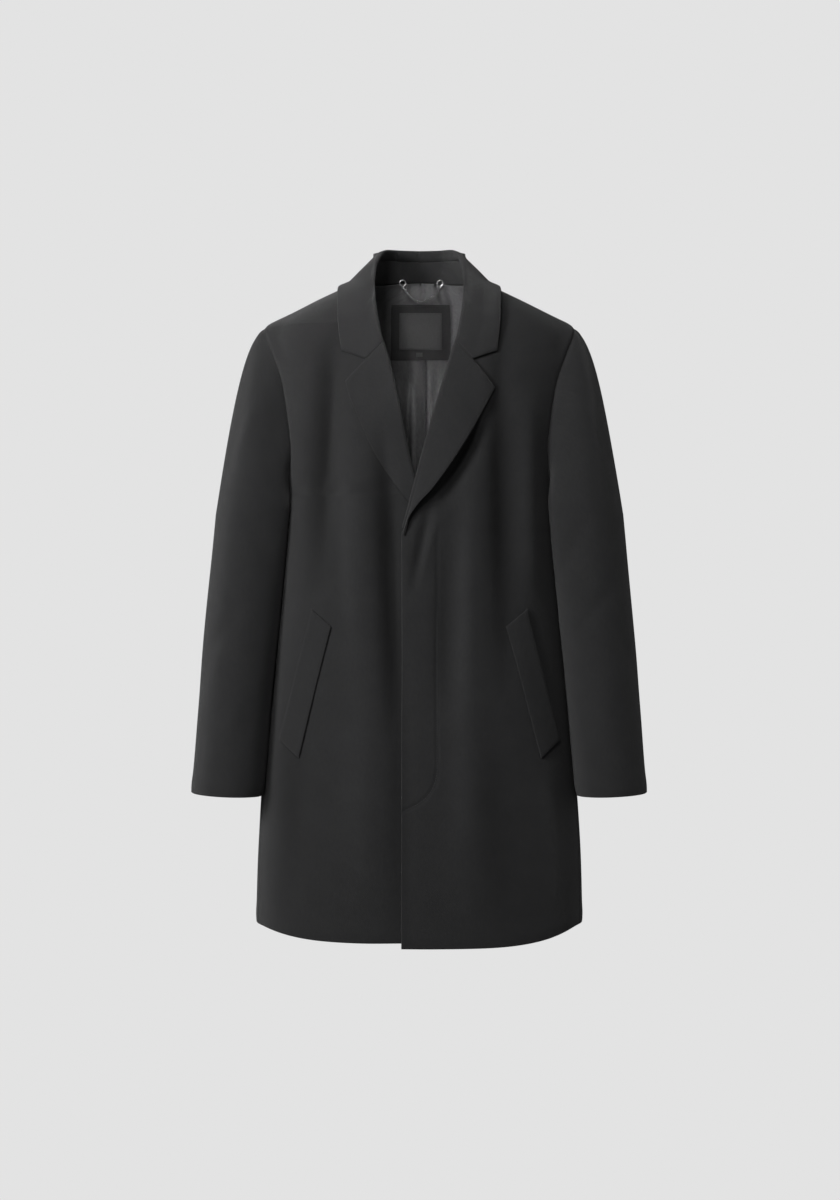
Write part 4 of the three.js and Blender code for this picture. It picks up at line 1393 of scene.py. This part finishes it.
def liningGrid(side):
    z = (lining["low"] + lining["tall"] * spaced(lining["tall"], 6))[:, None]
    seam = angleAt(lining["split"], z, True)
    start = seam if side > 0 else 2 * np.pi - seam
    limit = outerAngle(z, True) + math.radians(lining["underSide"])
    angle = mix(start, limit, spaced(lining["wide"], 3.2)[None, :])
    x = side * ring(angle, z)[..., 0]
    folds = foldHeight(liningFolds, x, z)
    shoulder = ease(*lining["shoulderFrom"], np.abs(x)) * ease(*lining["shoulderAbove"], z)
    rise = folds - lining["collarRoom"] * ease(*lining["collarFrom"], z)
    rise = rise + lining["shoulderRoom"] * shoulder
    away = np.minimum(np.abs(angle), 2 * np.pi - angle)
    return onInside(side * angle, z + nape(away, z), rise), folds


# Each layer of label cloth lies on the one before it.
def onLining(x, z, layer, proud=0):
    angle = angleAt(x, z, True)
    step = 2 * seamGap + thickness["label"]
    return onInside(angle, z + nape(angle, z), layer * step + proud)


def labelGrid(values, layer, spacing):
    wide, tall = 2 * values["halfWidth"], values["top"] - values["bottom"]
    x = (values["x"] - values["halfWidth"] + wide * spaced(wide, spacing, rim=(0.5,)))[None, :]
    z = (values["bottom"] + tall * spaced(tall, spacing, rim=(0.5,)))[:, None]
    return onLining(x, z + 0 * x, layer)


def makeLining():
    for name, side in sides:
        grid, folds = liningGrid(side)
        clothPiece("liningBack" + name, grid, "lining", ("plain",) * 4, side < 0, folds=folds)
    layers = [
        ("neckPatch", "patch", 1, "patch", 4),
        ("neckLabel", "label", 2, "label", 4),
        ("sizeTab", "sizeTab", 2, "label", 2),
    ]
    for name, cut, layer, cloth, spacing in layers:
        grid = labelGrid(lining[cut], layer, spacing)
        clothPiece(name, grid, cloth, ("turned",) * 4)
    print("lining and labels")


makeLining()

# the chain to hang it by, and its rings
chain = {"x": 3, "halfSpan": 27, "hangZ": 4.8, "sag": 21, "wire": 2.6, "inset": 7.8}
ringShape = {"radius": 4.3, "wire": 0.9}
link = {"long": 4.6, "wide": 3.9, "wire": 0.95, "pitch": 2.9, "turns": (8, 82)}
ringAngle = angleAt(chain["halfSpan"] + chain["x"], chain["hangZ"], True)
chainY = float(ring(ringAngle, chain["hangZ"])[1]) - chain["inset"]


def chainLine(count):
    reach = chain["halfSpan"] - 0.5
    u = np.linspace(-1, 1, count)
    top = chain["hangZ"] - ringShape["radius"] - ringShape["wire"] - chain["wire"] / 2 + seamGap
    return point(chain["x"] + u * reach, chainY - 1 + u * u, top - chain["sag"] * (1 - u * u))


# Points at even steps along a line, with the way it runs there.
def evenly(line, pitch):
    steps = np.concatenate([[0], np.cumsum(length(np.diff(line, axis=0))[:, 0])])
    marks = np.linspace(0, steps[-1], int(steps[-1] / pitch) + 1)
    places, after, before = (
        np.stack([np.interp(marks + shift, steps, line[:, i]) for i in range(3)], 1)
        for shift in (0, 0.5, -0.5)
    )
    return places, unit(after - before)


# One mesh of many copies of a small shape along a line, turned about it by these degrees in turn.
def copiesAlong(name, shape, line, pitch, material, turns=(0, 0)):
    local = np.array([v.co for v in shape.data.vertices])
    faces = [tuple(f.vertices) for f in shape.data.polygons]
    points, polygons = [], []
    places, ways = evenly(line, pitch)
    for i, (place, way) in enumerate(zip(places, ways)):
        across = unit(np.cross((0, -1, 0), way))
        up = np.cross(way, across)
        turn = math.radians(turns[i % 2])
        cos, sin = math.cos(turn), math.sin(turn)
        basis = np.stack([way, cos * across + sin * up, cos * up - sin * across])
        points.append(local @ basis + place * metre)
        polygons += [tuple(v + i * len(local) for v in face) for face in faces]
    mesh = bpy.data.meshes.new(name)
    mesh.from_pydata(np.concatenate(points).tolist(), [], polygons)
    mesh.shade_smooth()
    mesh.materials.append(material)
    bpy.data.objects.remove(shape)
    return inScene(name, mesh)


# Carries out these moves on the whole of the newest primitive, in edit mode.
def shaped(*moves):
    made = bpy.context.object
    bpy.ops.object.mode_set(mode="EDIT")
    bpy.ops.mesh.select_all(action="SELECT")
    for operator, values in moves:
        operator(**values)
    bpy.ops.object.mode_set(mode="OBJECT")
    return made


def addTorus(radius, wire, segments):
    bpy.ops.mesh.primitive_torus_add(
        major_radius=radius * metre,
        minor_radius=wire * metre,
        major_segments=segments[0],
        minor_segments=segments[1],
    )


def makeChain():
    addTorus((link["wide"] - link["wire"]) / 2, link["wire"] / 2, (14, 7))
    oval = shaped((bpy.ops.transform.resize, {"value": (link["long"] / link["wide"], 1, 1)}))
    line = chainLine(200)
    links = copiesAlong("hangerChain", oval, line, link["pitch"], materials.steel, link["turns"])
    onCoat(links)
    upright = {"value": math.pi / 2, "orient_axis": "X", "center_override": (0, 0, 0)}
    for name, side in sides:
        centre = (chain["x"] + side * chain["halfSpan"], chainY, chain["hangZ"])
        addTorus(ringShape["radius"], ringShape["wire"], (40, 12))
        hoop = shaped(
            (bpy.ops.transform.rotate, upright),
            (bpy.ops.transform.translate, {"value": [v * metre for v in centre]}),
        )
        hoop.name = "chainRing" + name
        hoop.data.shade_smooth()
        hoop.data.materials.append(materials.steel)
        onCoat(hoop)
    path = chainLine(60) * metre


makeChain()

# stitches: a short rounded thread, copied along a line
neckStitch = {
    "pitch": 2.6,
    "long": 1.9,
    "thread": 0.5,
    "proud": 0.05,
    "patchInset": 1.8,
    "labelInset": 1.5,
}


def stitchShape(long, thread):
    bpy.ops.mesh.primitive_uv_sphere_add(segments=8, ring_count=5, radius=1)
    lying = {"value": math.pi / 2, "orient_axis": "Y", "center_override": (0, 0, 0)}
    size = (long / 2 * metre, thread / 2 * metre, thread / 2 * metre)
    return shaped(
        (bpy.ops.transform.rotate, lying),
        (bpy.ops.transform.resize, {"value": size, "center_override": (0, 0, 0)}),
    )


def makeStitches():
    flat = flyLine()
    x, z = flat[flat[:, 0] > fly["threadEnd"]].T
    line = onFront(1, x, z, fly["rise"] - fly["groove"] + fly["threadRise"])
    shape = stitchShape(fly["long"], fly["thread"])
    onCoat(copiesAlong("flyStitches", shape, line, fly["pitch"], materials.thread), False)
    for cut, layer in (("patch", 1), ("label", 2)):
        values, inset = lining[cut], neckStitch[cut + "Inset"]
        half = values["halfWidth"] - inset
        low, top = values["bottom"] + inset, values["top"] - inset
        t = np.linspace(0, 4, 400)
        x = values["x"] + np.interp(t, range(5), (-half, half, half, -half, -half))
        z = np.interp(t, range(5), (low, low, top, top, low))
        shape = stitchShape(neckStitch["long"], neckStitch["thread"])
        line = onLining(x, z, layer, neckStitch["proud"])
        made = copiesAlong(cut + "Stitches", shape, line, neckStitch["pitch"], materials.silkThread)
        onCoat(made, False)
    print("stitches")


makeStitches()
